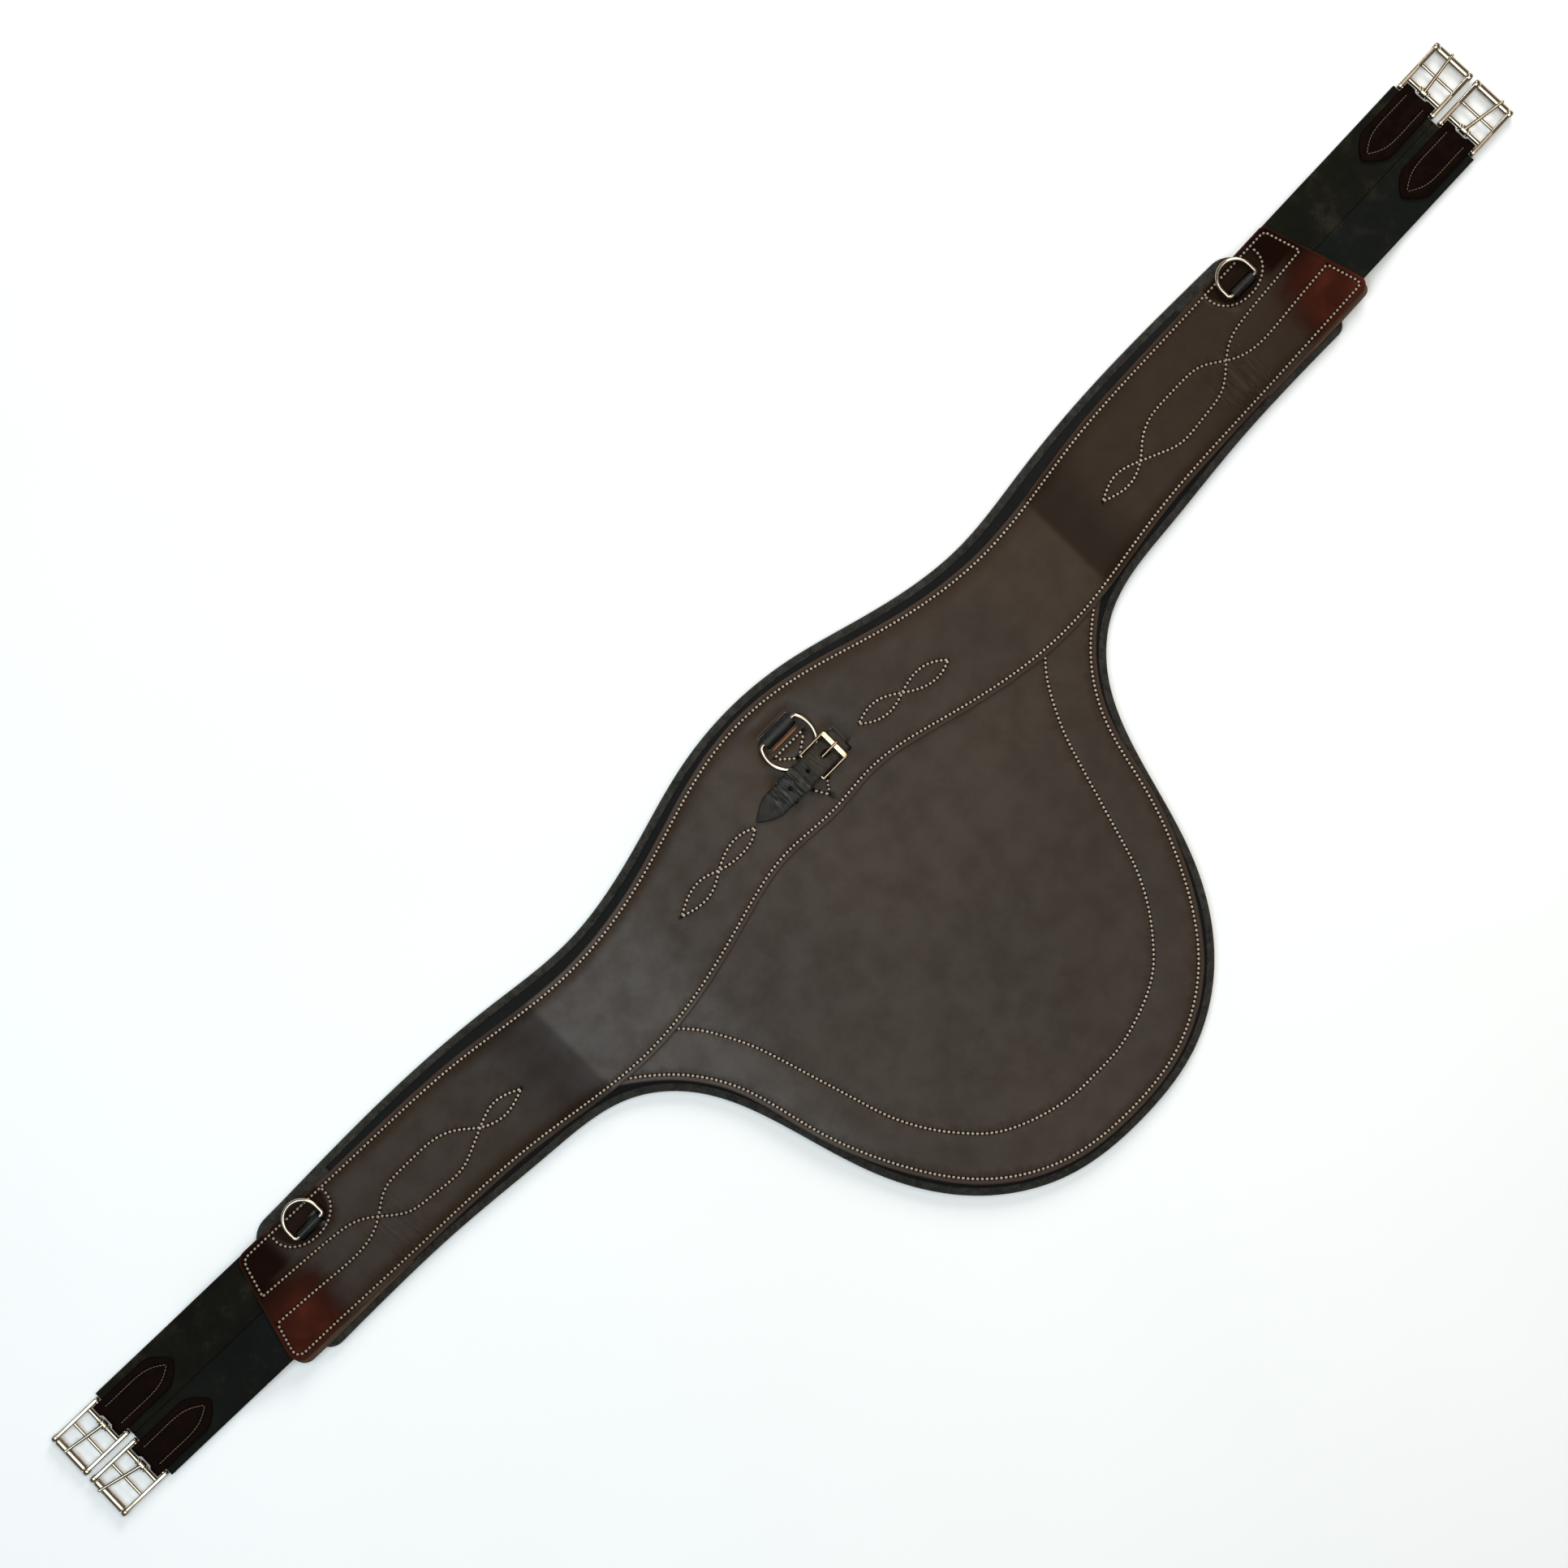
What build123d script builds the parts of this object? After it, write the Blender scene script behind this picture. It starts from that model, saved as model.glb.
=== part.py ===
from build123d import *
import os
from math import atan2, cos, degrees, hypot, radians, sin, sqrt

# A saddle girth with a belly guard, laid flat with its felt side down.
# Frame: +X runs along the girth, +Y is its front edge, -Y the tip of the belly guard,
# and z = 0 is the underside of the felt. The two halves share their profiles about X = 0;
# their ends, end rings, the centre ring and its clip differ. Millimetres throughout.
# A dictionary keyed 1 and -1 holds the values of the right-hand and the left-hand end.

os.makedirs("parts", exist_ok=True)

# ---- layers, from the underside up -----------------------------------------------------
PAD_T = 9.0
BACKING_T = 2.0
CORE_T = 3.2
STRAP_T = 2.5
Z_BACKING = PAD_T
Z_CORE = Z_BACKING + BACKING_T
Z_STRAP = Z_CORE + CORE_T
Z_TOP = Z_STRAP + STRAP_T
TAIL_T = 1.6            # leather tails that are sewn in under the strap leather
Z_TAIL = Z_STRAP - 0.1 - TAIL_T / 2
WEB_T = 1.4
GUARD_T = 2.8

# ---- outlines: half profiles, from the middle out to the right-hand end ----------------
PAD_FRONT = [(0, 198.5), (50, 193.6), (105, 179.2), (190, 164.6), (255, 171.0), (325, 177.4), (450, 178.2)]
PAD_REAR = [
    (0, -198.5), (62, -189.6), (112, -158.5), (151, -101), (176, -22), (200, 30), (232, 58),
    (300, 72), (380, 79.4), (470, 82),
]
# Front corner, rear corner and the radius of each.
PAD_ENDS = {
    1: ((466, 178.2), (491, 82), 19.0, 9.0),
    -1: ((481, 178.2), (503, 82), 18.0, 12.0),
}
BACKING_INSET = 5.5
BACKING_HALF = 412.0

STRAP_FRONT = [(0, 190), (50, 183.9), (110, 166.6), (200, 152.6), (300, 164), (370, 168), (460, 171.2)]
STRAP_REAR = [(0, 95.2), (40, 97.4), (100, 85.6), (205, 69.0), (300, 80.6), (400, 86.7), (480, 90.4)]
STRAP_ENDS = {
    1: ((494, 172.4), (519, 92.2), 5.0, 6.0),
    -1: ((497.5, 172.6), (521.5, 91.6), 9.0, 9.0),
}
PLY_DROP = 4.5          # how far the second ply shows below the leather's rear edge
PLY_START = 414.0

GUARD_REAR = [
    (0, -191.5), (52, -185), (103, -156), (143.5, -99.5), (165, -45), (181, 12), (204, 45.5), (240, 67.5),
]
GUARD_TUCK = 12.0       # how far the guard runs in under the strap leather
GUARD_HALF = 236.0

WEB_Y = (112.0, 150.0)
WEB_HALF = 474.0
FOAM_HALF = 431.5
FOAM_INSET = 6.0

# ---- elastic ends ----------------------------------------------------------------------
SEAM = (510.0, 134.6)   # where the seam between the two elastics leaves the leather
END_TILT = 1.8          # degrees that the elastics lean towards the front edge
LANE = 18.9             # each elastic's centre from the seam
ELASTIC_W = 37.4
ELASTIC_T = 2.2
ELASTIC_IN = -35.0      # the elastic's sewn-in end, from the seam point
BAR_S = 124.28          # the buckle's strap bar, from the seam point
BAR_Z = 4.2
ELASTIC_GAP = 3.4       # the elastic stops this far short of the strap bar
BEND_FROM = 12.0
BEND_TO = 58.0

# ---- girth buckle, in its own frame: x outward from the strap bar, y across, z up ------
PLATE_Y = 15.3
PLATE_T = 3.0
EYE_W = 4.0
STRAP_BAR_R = 1.8
TONGUE_BAR = (7.2, 0.0)
TONGUE_BAR_R = 1.65
MIDDLE_BAR = (20.7, 0.5)
MIDDLE_BAR_R = 1.25
PIN = (36.5, 0.4)
PIN_R = 1.6
RUN_CLEAR = 0.05        # radial clearance of what turns on a bar
ROLLER_R = 3.0
ROLLER_HALF = 13.1
EYE_R = 3.2
TONGUE_EYE_R = 3.0
TONGUE_EYE_HALF = 2.6
TONGUE_LIFT = 2.2       # tongue's height over its bar where it leaves the eye
TONGUE_TIP_Z = 5.2
CHAPE_W = 26.4
CHAPE_LEAF_T = 1.7
CHAPE_GAP = 0.3         # between the elastic and each leaf
CHAPE_TIP = -57.5
CHAPE_SHOULDER = -41.5

# How far each tongue leans to one side, and how far its tip passes the roller's axis.
LANES = {
    "left_front": (-1, 1, 8.0, 0.6),
    "left_rear": (-1, -1, 13.0, 2.0),
    "right_front": (1, 1, 6.0, 2.0),
    "right_rear": (1, -1, -11.0, 2.0),
}

# ---- end D-rings -----------------------------------------------------------------------
RING_X = {1: 454.4, -1: 446.8}
RING_BAR_Y = 152.6
RING_WIRE_R = 1.45
RING_HALF = 12.9        # half width at the wire's centre
RING_RISE = 19.8        # from the bar's centre to the crown's centre
RING_CORNER_R = 2.0
RING_BAR_Z = Z_TOP + 0.35 + RING_WIRE_R
LOOP_HALF = 9.4
LOOP_T = 1.1
LOOP_IN_R = 2.2
TAB = 12.0              # how far a loop's tail runs on under the leather

# ---- centre ring and its clip ----------------------------------------------------------
CENTRE = (13.0, 153.0)
CENTRE_R = 19.0         # to the wire's centre
CENTRE_WIRE_R = 1.55
CENTRE_BAR_Y = 163.8
CENTRE_BAR_Z = Z_TOP + 0.35 + CENTRE_WIRE_R
CENTRE_LOOP_HALF = 13.0
CENTRE_LOOP_IN = 4.3
CLIP_Y = 130.0
BILLET_HALF = 9.3
BILLET_T = 1.6
BILLET_TIP = -41.5
BILLET_SHOULDER = -24.0     # where the billet starts to narrow to its point
BILLET_SLIT_X = 39.4        # the slits through which billet and chape leave the leather
CHAPE_SLIT_X = -12.0
BILLET_HOLES = (8.0, -8.5)
BILLET_HOLE_R = 1.0
PIVOT = (12.0, Z_TOP + 7.2)
PIVOT_R = 1.0
FRONT_BAR = (33.5, Z_TOP + 5.6)
CLIP_SIDE_Y = 11.2      # side bars from the clip's centre line
CLIP_WIRE_R = 1.1
CHAPE_LEVEL = Z_TOP + 6.5   # centre height of the clip's chape where it runs over the ring
BILLET_LEVEL = Z_TOP + 8.3  # and of the billet on top of it
BILLET_ARCH = Z_TOP + 11.1  # the billet's highest run, clear of the tongue below it
TONGUE_HOLE = (21.3, 28.6)  # where the tongue comes up through the billet, along X
TONGUE_HOLE_HALF = 1.9
KEEPER_X = (-4.0, 3.4)
KEEPER_T = 0.8


def mirrored(half):
    """The whole outline from its right half, which starts on X = 0."""
    return [(-x, y) for x, y in reversed(half[1:])] + list(half)


def shifted(half, dy, end=None):
    """The same half profile moved by dy, cut off after x = end."""
    return [(x, y + dy) for x, y in half if end is None or x <= end]


def profile(half):
    """A smooth curve through the whole outline."""
    return Spline(*mirrored(half))


def moved(half, distance):
    """The half profile moved square to its own curve, to its left as it runs along +X."""
    curve = profile(half)
    result = []
    for x, y in half:
        heading = curve.tangent_at((x, y))
        result.append((x - heading.Y * distance, y + heading.X * distance))
    return result


def layer(face, z, thickness):
    return Pos(0, 0, z) * extrude(face, thickness)


def both_ends(half_front, half_rear, ends):
    """The face between a front and a rear curve, closed by slanted ends with round corners."""
    edges = [profile(half_front), profile(half_rear)]
    sharp = []
    for side, (top, bottom, r_top, r_bottom) in ends.items():
        a = (side * half_front[-1][0], half_front[-1][1])
        b = (side * top[0], top[1])
        c = (side * bottom[0], bottom[1])
        d = (side * half_rear[-1][0], half_rear[-1][1])
        edges += [Line(a, b), Line(b, c), Line(c, d)]
        sharp += [(b, r_top), (c, r_bottom)]
    face = make_face(edges)
    for (x, y), radius in sharp:
        found = [v for v in face.vertices() if hypot(v.X - x, v.Y - y) < 0.01]
        face = fillet(found, radius)
    return face


def between(upper, lower):
    """The face between two curves that run from end to end, closed by straight ends."""
    top = profile(upper)
    low = profile(lower)
    ends = []
    for side in (-1, 1):
        ends.append(Line((side * upper[-1][0], upper[-1][1]), (side * lower[-1][0], lower[-1][1])))
    return make_face([top, low] + ends)


def box(x, y, z):
    """A box from its lowest and highest value along each axis."""
    size = [b - a for a, b in (x, y, z)]
    return Pos(*[(a + b) / 2 for a, b in (x, y, z)]) * Box(*size)


def mirror_x(shape):
    return mirror(shape, about=Plane.YZ)


# ---- pad, backing and leathers ---------------------------------------------------------
def pad_face():
    return both_ends(PAD_FRONT, PAD_REAR, PAD_ENDS)


def strap_face():
    return both_ends(STRAP_FRONT, STRAP_REAR, STRAP_ENDS)


def black_backing():
    upper = moved(PAD_FRONT, -BACKING_INSET)
    lower = moved(PAD_REAR, BACKING_INSET)
    slab = layer(between(upper, lower), Z_BACKING, BACKING_T)
    return slab & box((-BACKING_HALF, BACKING_HALF), (-250, 250), (0, 20))


def end_ply(side):
    lower = shifted(STRAP_REAR, -PLY_DROP)
    ends = {}
    for key, (top, bottom, r_top, r_bottom) in STRAP_ENDS.items():
        ends[key] = (top, (bottom[0] - 1.0, bottom[1] - PLY_DROP), r_top, r_bottom)
    face = both_ends(STRAP_FRONT, lower, ends)
    reach = sorted((side * PLY_START, side * 600))
    return layer(face, Z_BACKING, BACKING_T) & box(reach, (0, 250), (0, 20))


def slit(x_half, x_mid, y_mid, gap):
    """A straight cut through the strap leather, along X."""
    return box((x_mid - x_half, x_mid + x_half), (y_mid - gap / 2, y_mid + gap / 2), (Z_STRAP - 1, Z_TOP + 1))


def strap_leather():
    body = layer(strap_face(), Z_STRAP, STRAP_T)
    reach = LOOP_IN_R + LOOP_T / 2
    for side in (-1, 1):
        for step in (-reach, reach):
            body -= slit(LOOP_HALF, side * RING_X[side], RING_BAR_Y + step, LOOP_T)
    reach = CENTRE_LOOP_IN + LOOP_T / 2
    for step in (-reach, reach):
        body -= slit(CENTRE_LOOP_HALF, CENTRE[0], CENTRE_BAR_Y + step, LOOP_T)
    across = (CLIP_Y - BILLET_HALF, CLIP_Y + BILLET_HALF)
    half = BILLET_T / 2
    for x in (BILLET_SLIT_X, CHAPE_SLIT_X):
        body -= box((x - half, x + half), across, (Z_STRAP - 1, Z_TOP + 1))
    return body


def guard_leather():
    tucked = [(x, y + GUARD_TUCK) for x, y in STRAP_REAR if x < GUARD_HALF]
    tucked.append((GUARD_HALF, STRAP_REAR[3][1] + GUARD_TUCK + 3.2))
    lower = GUARD_REAR[:-1] + [(GUARD_HALF, GUARD_REAR[-1][1])]
    return layer(between(tucked, lower), Z_CORE, GUARD_T)


def core_web():
    return box((-WEB_HALF, WEB_HALF), WEB_Y, (Z_CORE, Z_CORE + WEB_T))


def strap_foam():
    upper = shifted(STRAP_FRONT, -FOAM_INSET, 400)
    lower = shifted(STRAP_REAR, GUARD_TUCK + 1.0, 400)
    upper.append((FOAM_HALF, 163.5))
    lower.append((FOAM_HALF, 100.5))
    body = layer(between(upper, lower), Z_CORE, CORE_T)
    body -= box((-WEB_HALF, WEB_HALF), WEB_Y, (Z_CORE - 1, Z_CORE + WEB_T))
    pocket_low = Z_TAIL - TAIL_T / 2
    body -= box((-30, 62), (CLIP_Y - 10, CLIP_Y + 10), (pocket_low, Z_STRAP + 1))
    reach = CENTRE_LOOP_IN + LOOP_T + TAB + 1
    loop_x = (CENTRE[0] - CENTRE_LOOP_HALF - 1, CENTRE[0] + CENTRE_LOOP_HALF + 1)
    body -= box(loop_x, (CENTRE_BAR_Y - reach, CENTRE_BAR_Y + reach), (pocket_low, Z_STRAP + 1))
    return body


# ---- elastic ends ----------------------------------------------------------------------
def at_end(shape, lane, along, z):
    """Put a shape made for the right-hand end in its lane, at a distance from the seam point."""
    return Pos(SEAM[0], SEAM[1], 0) * Rot(0, 0, END_TILT) * Pos(along, lane * LANE, z) * shape


def elastic(lane):
    """A flat band that drops from the leather's core layer to the buckle's level."""
    high = Z_CORE + 0.4 + ELASTIC_T / 2
    edges = []
    for dz in (-ELASTIC_T / 2, ELASTIC_T / 2):
        edges.append(Line((ELASTIC_IN, high + dz), (BEND_FROM, high + dz)))
        bend = Spline((BEND_FROM, high + dz), (BEND_TO, BAR_Z + dz), tangents=[(1, 0), (1, 0)])
        edges.append(bend)
        edges.append(Line((BEND_TO, BAR_Z + dz), (BAR_S - ELASTIC_GAP, BAR_Z + dz)))
    for x, z in ((ELASTIC_IN, high), (BAR_S - ELASTIC_GAP, BAR_Z)):
        edges.append(Line((x, z - ELASTIC_T / 2), (x, z + ELASTIC_T / 2)))
    face = Plane.XZ * make_face(edges)
    band = extrude(face, ELASTIC_W / 2, both=True)
    return at_end(band, lane, 0, 0)


def chape_leaf():
    """The pointed tab seen from above: straight sides, then two arcs to the tip."""
    half = CHAPE_W / 2
    waist = (CHAPE_SHOULDER + CHAPE_TIP) / 2
    edges = [Line((0, -half), (0, half)), Line((0, half), (CHAPE_SHOULDER, half))]
    edges.append(Line((0, -half), (CHAPE_SHOULDER, -half)))
    for side in (-1, 1):
        mid = (waist - 0.6, side * half * 0.58)
        edges.append(ThreePointArc((CHAPE_SHOULDER, side * half), mid, (CHAPE_TIP, 0)))
    return make_face(edges)


def buckle_chape():
    """Two leaves with the elastic between them, joined by a loop round the strap bar."""
    inner = ELASTIC_T / 2 + CHAPE_GAP
    leaf = chape_leaf()
    body = layer(leaf, inner, CHAPE_LEAF_T) + layer(leaf, -inner - CHAPE_LEAF_T, CHAPE_LEAF_T)
    across = Rot(90, 0, 0)
    outer = inner + CHAPE_LEAF_T
    body += across * Cylinder(outer, CHAPE_W)
    body -= box((-2.0, 0), (-20, 20), (-inner, inner))
    body -= across * Cylinder(STRAP_BAR_R + RUN_CLEAR, CHAPE_W + 2)
    return body


def bar(at, radius, length):
    return Pos(at[0], 0, at[1]) * Rot(90, 0, 0) * Cylinder(radius, length)


def side_plate():
    """One side plate: straight underneath, arched on top, with a round end at each bar."""
    outline = make_hull(
        (Circle(2.9) + Pos(18, 1.0) * Circle(2.6) + Pos(PIN[0] - 1.0, PIN[1]) * Circle(2.7)).edges()
    )
    plate = extrude(Plane.XZ * outline, PLATE_T / 2, both=True)
    plate = fillet(plate.edges().filter_by(lambda e: e.length > 5), 0.9)
    return plate


def buckle_frame():
    body = None
    for side in (-1, 1):
        plate = Pos(0, side * PLATE_Y, 0) * side_plate()
        body = plate if body is None else body + plate
        eye = Pos(PIN[0], side * (PLATE_Y + 0.2), PIN[1]) * Rot(90, 0, 0) * Cylinder(EYE_R, EYE_W)
        body += fillet(eye.edges().filter_by(GeomType.CIRCLE), 1.5)
    reach = 2 * PLATE_Y
    body += bar((0, 0), STRAP_BAR_R, reach)
    body += bar(TONGUE_BAR, TONGUE_BAR_R, reach)
    body += bar(MIDDLE_BAR, MIDDLE_BAR_R, reach)
    body += bar(PIN, PIN_R, reach)
    for side in (-1, 1):
        collar = Pos(TONGUE_BAR[0], side * 3.8, TONGUE_BAR[1]) * Rot(90, 0, 0) * Cylinder(2.5, 1.4)
        body += fillet(collar.edges().filter_by(GeomType.CIRCLE), 0.5)
    return body


def buckle_roller():
    body = bar(PIN, ROLLER_R, 2 * ROLLER_HALF)
    body = fillet(body.edges().filter_by(GeomType.CIRCLE), 0.5)
    return body - bar(PIN, PIN_R + RUN_CLEAR, 2 * ROLLER_HALF + 2)


def buckle_tongue(lean, past):
    """An eye on the tongue bar and a tapered rod that rests over the roller."""
    eye = Rot(90, 0, 0) * Cylinder(TONGUE_EYE_R, 2 * TONGUE_EYE_HALF)
    body = fillet(eye.edges().filter_by(GeomType.CIRCLE), 0.7)
    run = (PIN[0] - TONGUE_BAR[0] + past) / cos(radians(lean))
    rise = TONGUE_TIP_Z - TONGUE_BAR[1] - TONGUE_LIFT
    length = sqrt(run * run + rise * rise)
    tip_r = 1.1
    rod = Pos(0, 0, length / 2) * Cone(1.4, tip_r, length) + Pos(0, 0, length) * Sphere(tip_r)
    rod = Pos(0, 0, TONGUE_LIFT) * Rot(0, 0, lean) * Rot(0, 90 - degrees(atan2(rise, run)), 0) * rod
    body += rod
    body -= Rot(90, 0, 0) * Cylinder(TONGUE_BAR_R + RUN_CLEAR, 20)
    return Pos(TONGUE_BAR[0], 0, TONGUE_BAR[1]) * body


# ---- rings and their loops -------------------------------------------------------------
def wire_ring(edges, radius):
    """A closed round wire along the given flat path."""
    path = Wire(edges)
    start = edges[0] @ 0
    heading = edges[0] % 0
    section = Plane(origin=start, z_dir=heading) * Circle(radius)
    return sweep(section, path=path)


def end_ring(side):
    """A D: straight bar, two legs and a round crown."""
    r = RING_CORNER_R
    h = RING_HALF
    crown = RING_RISE - h
    edges = [
        Line((-h + r, 0), (h - r, 0)),
        ThreePointArc((h - r, 0), (h - r + r * sin(radians(45)), r - r * cos(radians(45))), (h, r)),
        Line((h, r), (h, crown)),
        ThreePointArc((h, crown), (0, crown + h), (-h, crown)),
        Line((-h, crown), (-h, r)),
        ThreePointArc((-h, r), (-h + r - r * sin(radians(45)), r - r * cos(radians(45))), (-h + r, 0)),
    ]
    return Pos(side * RING_X[side], RING_BAR_Y, RING_BAR_Z) * wire_ring(edges, RING_WIRE_R)


def centre_ring():
    """Most of a circle, closed by a straight bar with rounded ends."""
    up = CENTRE_BAR_Y - CENTRE[1]
    half = sqrt(CENTRE_R ** 2 - up ** 2)
    arc = CenterArc((0, 0), CENTRE_R, degrees(atan2(up, half)), -(180 + 2 * degrees(atan2(up, half))))
    face = make_face([arc, Line((-half, up), (half, up))])
    face = fillet(face.vertices(), 3.0)
    edges = list(face.face().outer_wire().order_edges())
    return Pos(CENTRE[0], CENTRE[1], CENTRE_BAR_Z) * wire_ring(edges, CENTRE_WIRE_R)


def bar_loop(x_mid, half, y_mid, inner, bar_z, head):
    """A leather loop over a ring's bar: an arch with a leg through each slit and a tail beyond it."""
    r = inner + LOOP_T / 2
    top = bar_z + head
    bend = min(2.0, r - 0.1)
    points = [(-r - TAB, Z_TAIL), (-r, Z_TAIL), (-r, top), (r, top), (r, Z_TAIL), (r + TAB, Z_TAIL)]
    path = FilletPolyline(*points, radius=[0.56, bend, bend, 0.56])
    band = trace(path, LOOP_T)
    solid = extrude(Plane.YZ * band, half, both=True)
    return Pos(x_mid, y_mid, 0) * solid


def ring_loop(side):
    head = RING_WIRE_R + 0.3 + LOOP_T / 2
    return bar_loop(side * RING_X[side], LOOP_HALF, RING_BAR_Y, LOOP_IN_R, RING_BAR_Z, head)


def ring_patch(side):
    """A reinforcement under the end ring, in front of the core web."""
    x = side * RING_X[side]
    return box((x - 14, x + 14), (WEB_Y[1] + 0.5, 167), (Z_CORE, Z_TAIL - LOOP_T / 2 - 0.05))


def centre_ring_loop():
    head = CENTRE_WIRE_R + 0.3 + LOOP_T / 2
    return bar_loop(CENTRE[0], CENTRE_LOOP_HALF, CENTRE_BAR_Y, CENTRE_LOOP_IN, CENTRE_BAR_Z, head)


# ---- centre clip -----------------------------------------------------------------------
def ribbon(points, radii, thickness, half):
    """A strap of even thickness along a side-view path, centred on the clip's line."""
    band = trace(FilletPolyline(*points, radius=radii), thickness)
    return Pos(0, CLIP_Y, 0) * extrude(Plane.XZ * band, half, both=True)


def clip_billet():
    flat = Z_TOP + 0.1 + BILLET_T / 2
    points = [
        (58.0, Z_TAIL), (BILLET_SLIT_X, Z_TAIL), (BILLET_SLIT_X, flat), (34.0, flat + 0.7),
        (29.6, flat + 2.4), (22.4, BILLET_ARCH), (12.0, BILLET_ARCH), (4.6, BILLET_LEVEL),
        (-7.0, BILLET_LEVEL), (-20.5, flat), (-44.0, flat),
    ]
    body = ribbon(points, [0.85, 0.85, 4.0, 3.0, 3.5, 6.0, 6.0, 8.0, 8.0], BILLET_T, BILLET_HALF)
    h = BILLET_HALF
    root = 60.0
    waist = (BILLET_SHOULDER - 9.5, h * 0.62)
    edges = [Line((root, -h), (root, h))]
    for side in (-1, 1):
        edges.append(Line((root, side * h), (BILLET_SHOULDER, side * h)))
        edges.append(ThreePointArc((BILLET_SHOULDER, side * h), (waist[0], side * waist[1]), (BILLET_TIP, 0)))
    body &= Pos(0, CLIP_Y, 0) * extrude(make_face(edges), root)
    for x in BILLET_HOLES:
        body -= Pos(x, CLIP_Y, Z_TOP + 5) * Cylinder(BILLET_HOLE_R, 30)
    across = (CLIP_Y - TONGUE_HOLE_HALF, CLIP_Y + TONGUE_HOLE_HALF)
    return body - box(TONGUE_HOLE, across, (Z_TOP + 3, Z_TOP + 14))


def clip_chape():
    points = [
        (PIVOT[0], CHAPE_LEVEL), (-5.5, CHAPE_LEVEL), (CHAPE_SLIT_X, Z_TOP + 1.2),
        (CHAPE_SLIT_X, Z_TAIL), (-27.0, Z_TAIL),
    ]
    body = ribbon(points, [3.0, 1.0, 0.85], BILLET_T, BILLET_HALF)
    hub = Pos(PIVOT[0], CLIP_Y, PIVOT[1]) * Rot(90, 0, 0)
    body += hub * Cylinder(PIVOT_R + 1.2, 2 * BILLET_HALF)
    body -= hub * Cylinder(PIVOT_R + RUN_CLEAR, 40)
    body -= box((8.0, 16.0), (CLIP_Y - 2.0, CLIP_Y + 2.0), (Z_TOP + 3, PIVOT[1] + 2.35))
    return body


def clip_keeper():
    """A closed band round the chape and the billet."""
    low = CHAPE_LEVEL - BILLET_T / 2
    high = BILLET_LEVEL + BILLET_T / 2
    half = BILLET_HALF + KEEPER_T
    outer = box(KEEPER_X, (CLIP_Y - half, CLIP_Y + half), (low - KEEPER_T, high + KEEPER_T))
    return outer - box((-5, 5), (CLIP_Y - BILLET_HALF, CLIP_Y + BILLET_HALF), (low, high))


def clip_buckle_frame():
    """A flat front bar, two round side bars and the bar that the chape wraps."""
    run = FRONT_BAR[0] - PIVOT[0]
    fall = PIVOT[1] - FRONT_BAR[1]
    slope = degrees(atan2(fall, run))
    length = sqrt(run * run + fall * fall)
    frame = Rot(90, 0, 0) * Cylinder(PIVOT_R, 2 * CLIP_SIDE_Y)
    for side in (-1, 1):
        frame += Pos(length / 2, side * CLIP_SIDE_Y, 0) * Rot(0, 90, 0) * Cylinder(CLIP_WIRE_R, length)
        frame += Pos(0, side * CLIP_SIDE_Y, 0) * Sphere(CLIP_WIRE_R)
    front = Pos(length, 0, 0) * Box(4.0, 2 * (CLIP_SIDE_Y + CLIP_WIRE_R), 2.0)
    outer = front.edges().filter_by(Axis.Z).filter_by(lambda e: e.center().X > length)
    front = fillet(outer, 3.2)
    front = fillet(front.edges().filter_by(lambda e: abs(e.center().Z) > 0.9), 0.7)
    frame += front
    return Pos(PIVOT[0], CLIP_Y, PIVOT[1]) * Rot(0, slope, 0) * frame


def clip_tongue():
    tip = (FRONT_BAR[0] + 1.6 - PIVOT[0], FRONT_BAR[1] + 1.0 + 0.35 + 1.0 - PIVOT[1])
    start = (0.0, 0.9)
    run = tip[0] - start[0]
    rise = tip[1] - start[1]
    length = sqrt(run * run + rise * rise)
    rod = Pos(0, 0, length / 2) * Cylinder(1.0, length) + Pos(0, 0, length) * Sphere(1.0)
    rod = Pos(start[0], 0, start[1]) * Rot(0, 90 - degrees(atan2(rise, run)), 0) * rod
    body = Rot(90, 0, 0) * Cylinder(PIVOT_R + 1.0, 3.0) + rod
    body -= Rot(90, 0, 0) * Cylinder(PIVOT_R + RUN_CLEAR, 10)
    return Pos(PIVOT[0], CLIP_Y, PIVOT[1]) * body


# ---- the assembly ----------------------------------------------------------------------
def all_nodes():
    nodes = {
        "felt_pad": layer(pad_face(), 0, PAD_T),
        "black_backing": black_backing(),
        "guard_leather": guard_leather(),
        "strap_leather": strap_leather(),
        "core_web": core_web(),
        "strap_foam": strap_foam(),
        "centre_ring_loop": centre_ring_loop(),
        "centre_ring": centre_ring(),
        "clip_billet": clip_billet(),
        "clip_chape": clip_chape(),
        "clip_keeper": clip_keeper(),
        "clip_buckle_frame": clip_buckle_frame(),
        "clip_tongue": clip_tongue(),
    }
    pairs = {"end_ply": end_ply, "ring_patch": ring_patch, "ring_loop": ring_loop, "end_ring": end_ring}
    for name, make in pairs.items():
        nodes[name + "_right"] = make(1)
        nodes[name + "_left"] = make(-1)
    for name, (side, lane, lean, past) in LANES.items():
        pieces = {
            "elastic_": elastic(lane),
            "buckle_chape_": at_end(buckle_chape(), lane, BAR_S, BAR_Z),
            "buckle_frame_": at_end(buckle_frame(), lane, BAR_S, BAR_Z),
            "buckle_roller_": at_end(buckle_roller(), lane, BAR_S, BAR_Z),
            "buckle_tongue_": at_end(buckle_tongue(lean, past), lane, BAR_S, BAR_Z),
        }
        for prefix, shape in pieces.items():
            nodes[prefix + name] = mirror_x(shape) if side < 0 else shape
    return nodes


for node, shape in all_nodes().items():
    export_step(shape, f"parts/{node}.step")
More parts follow.
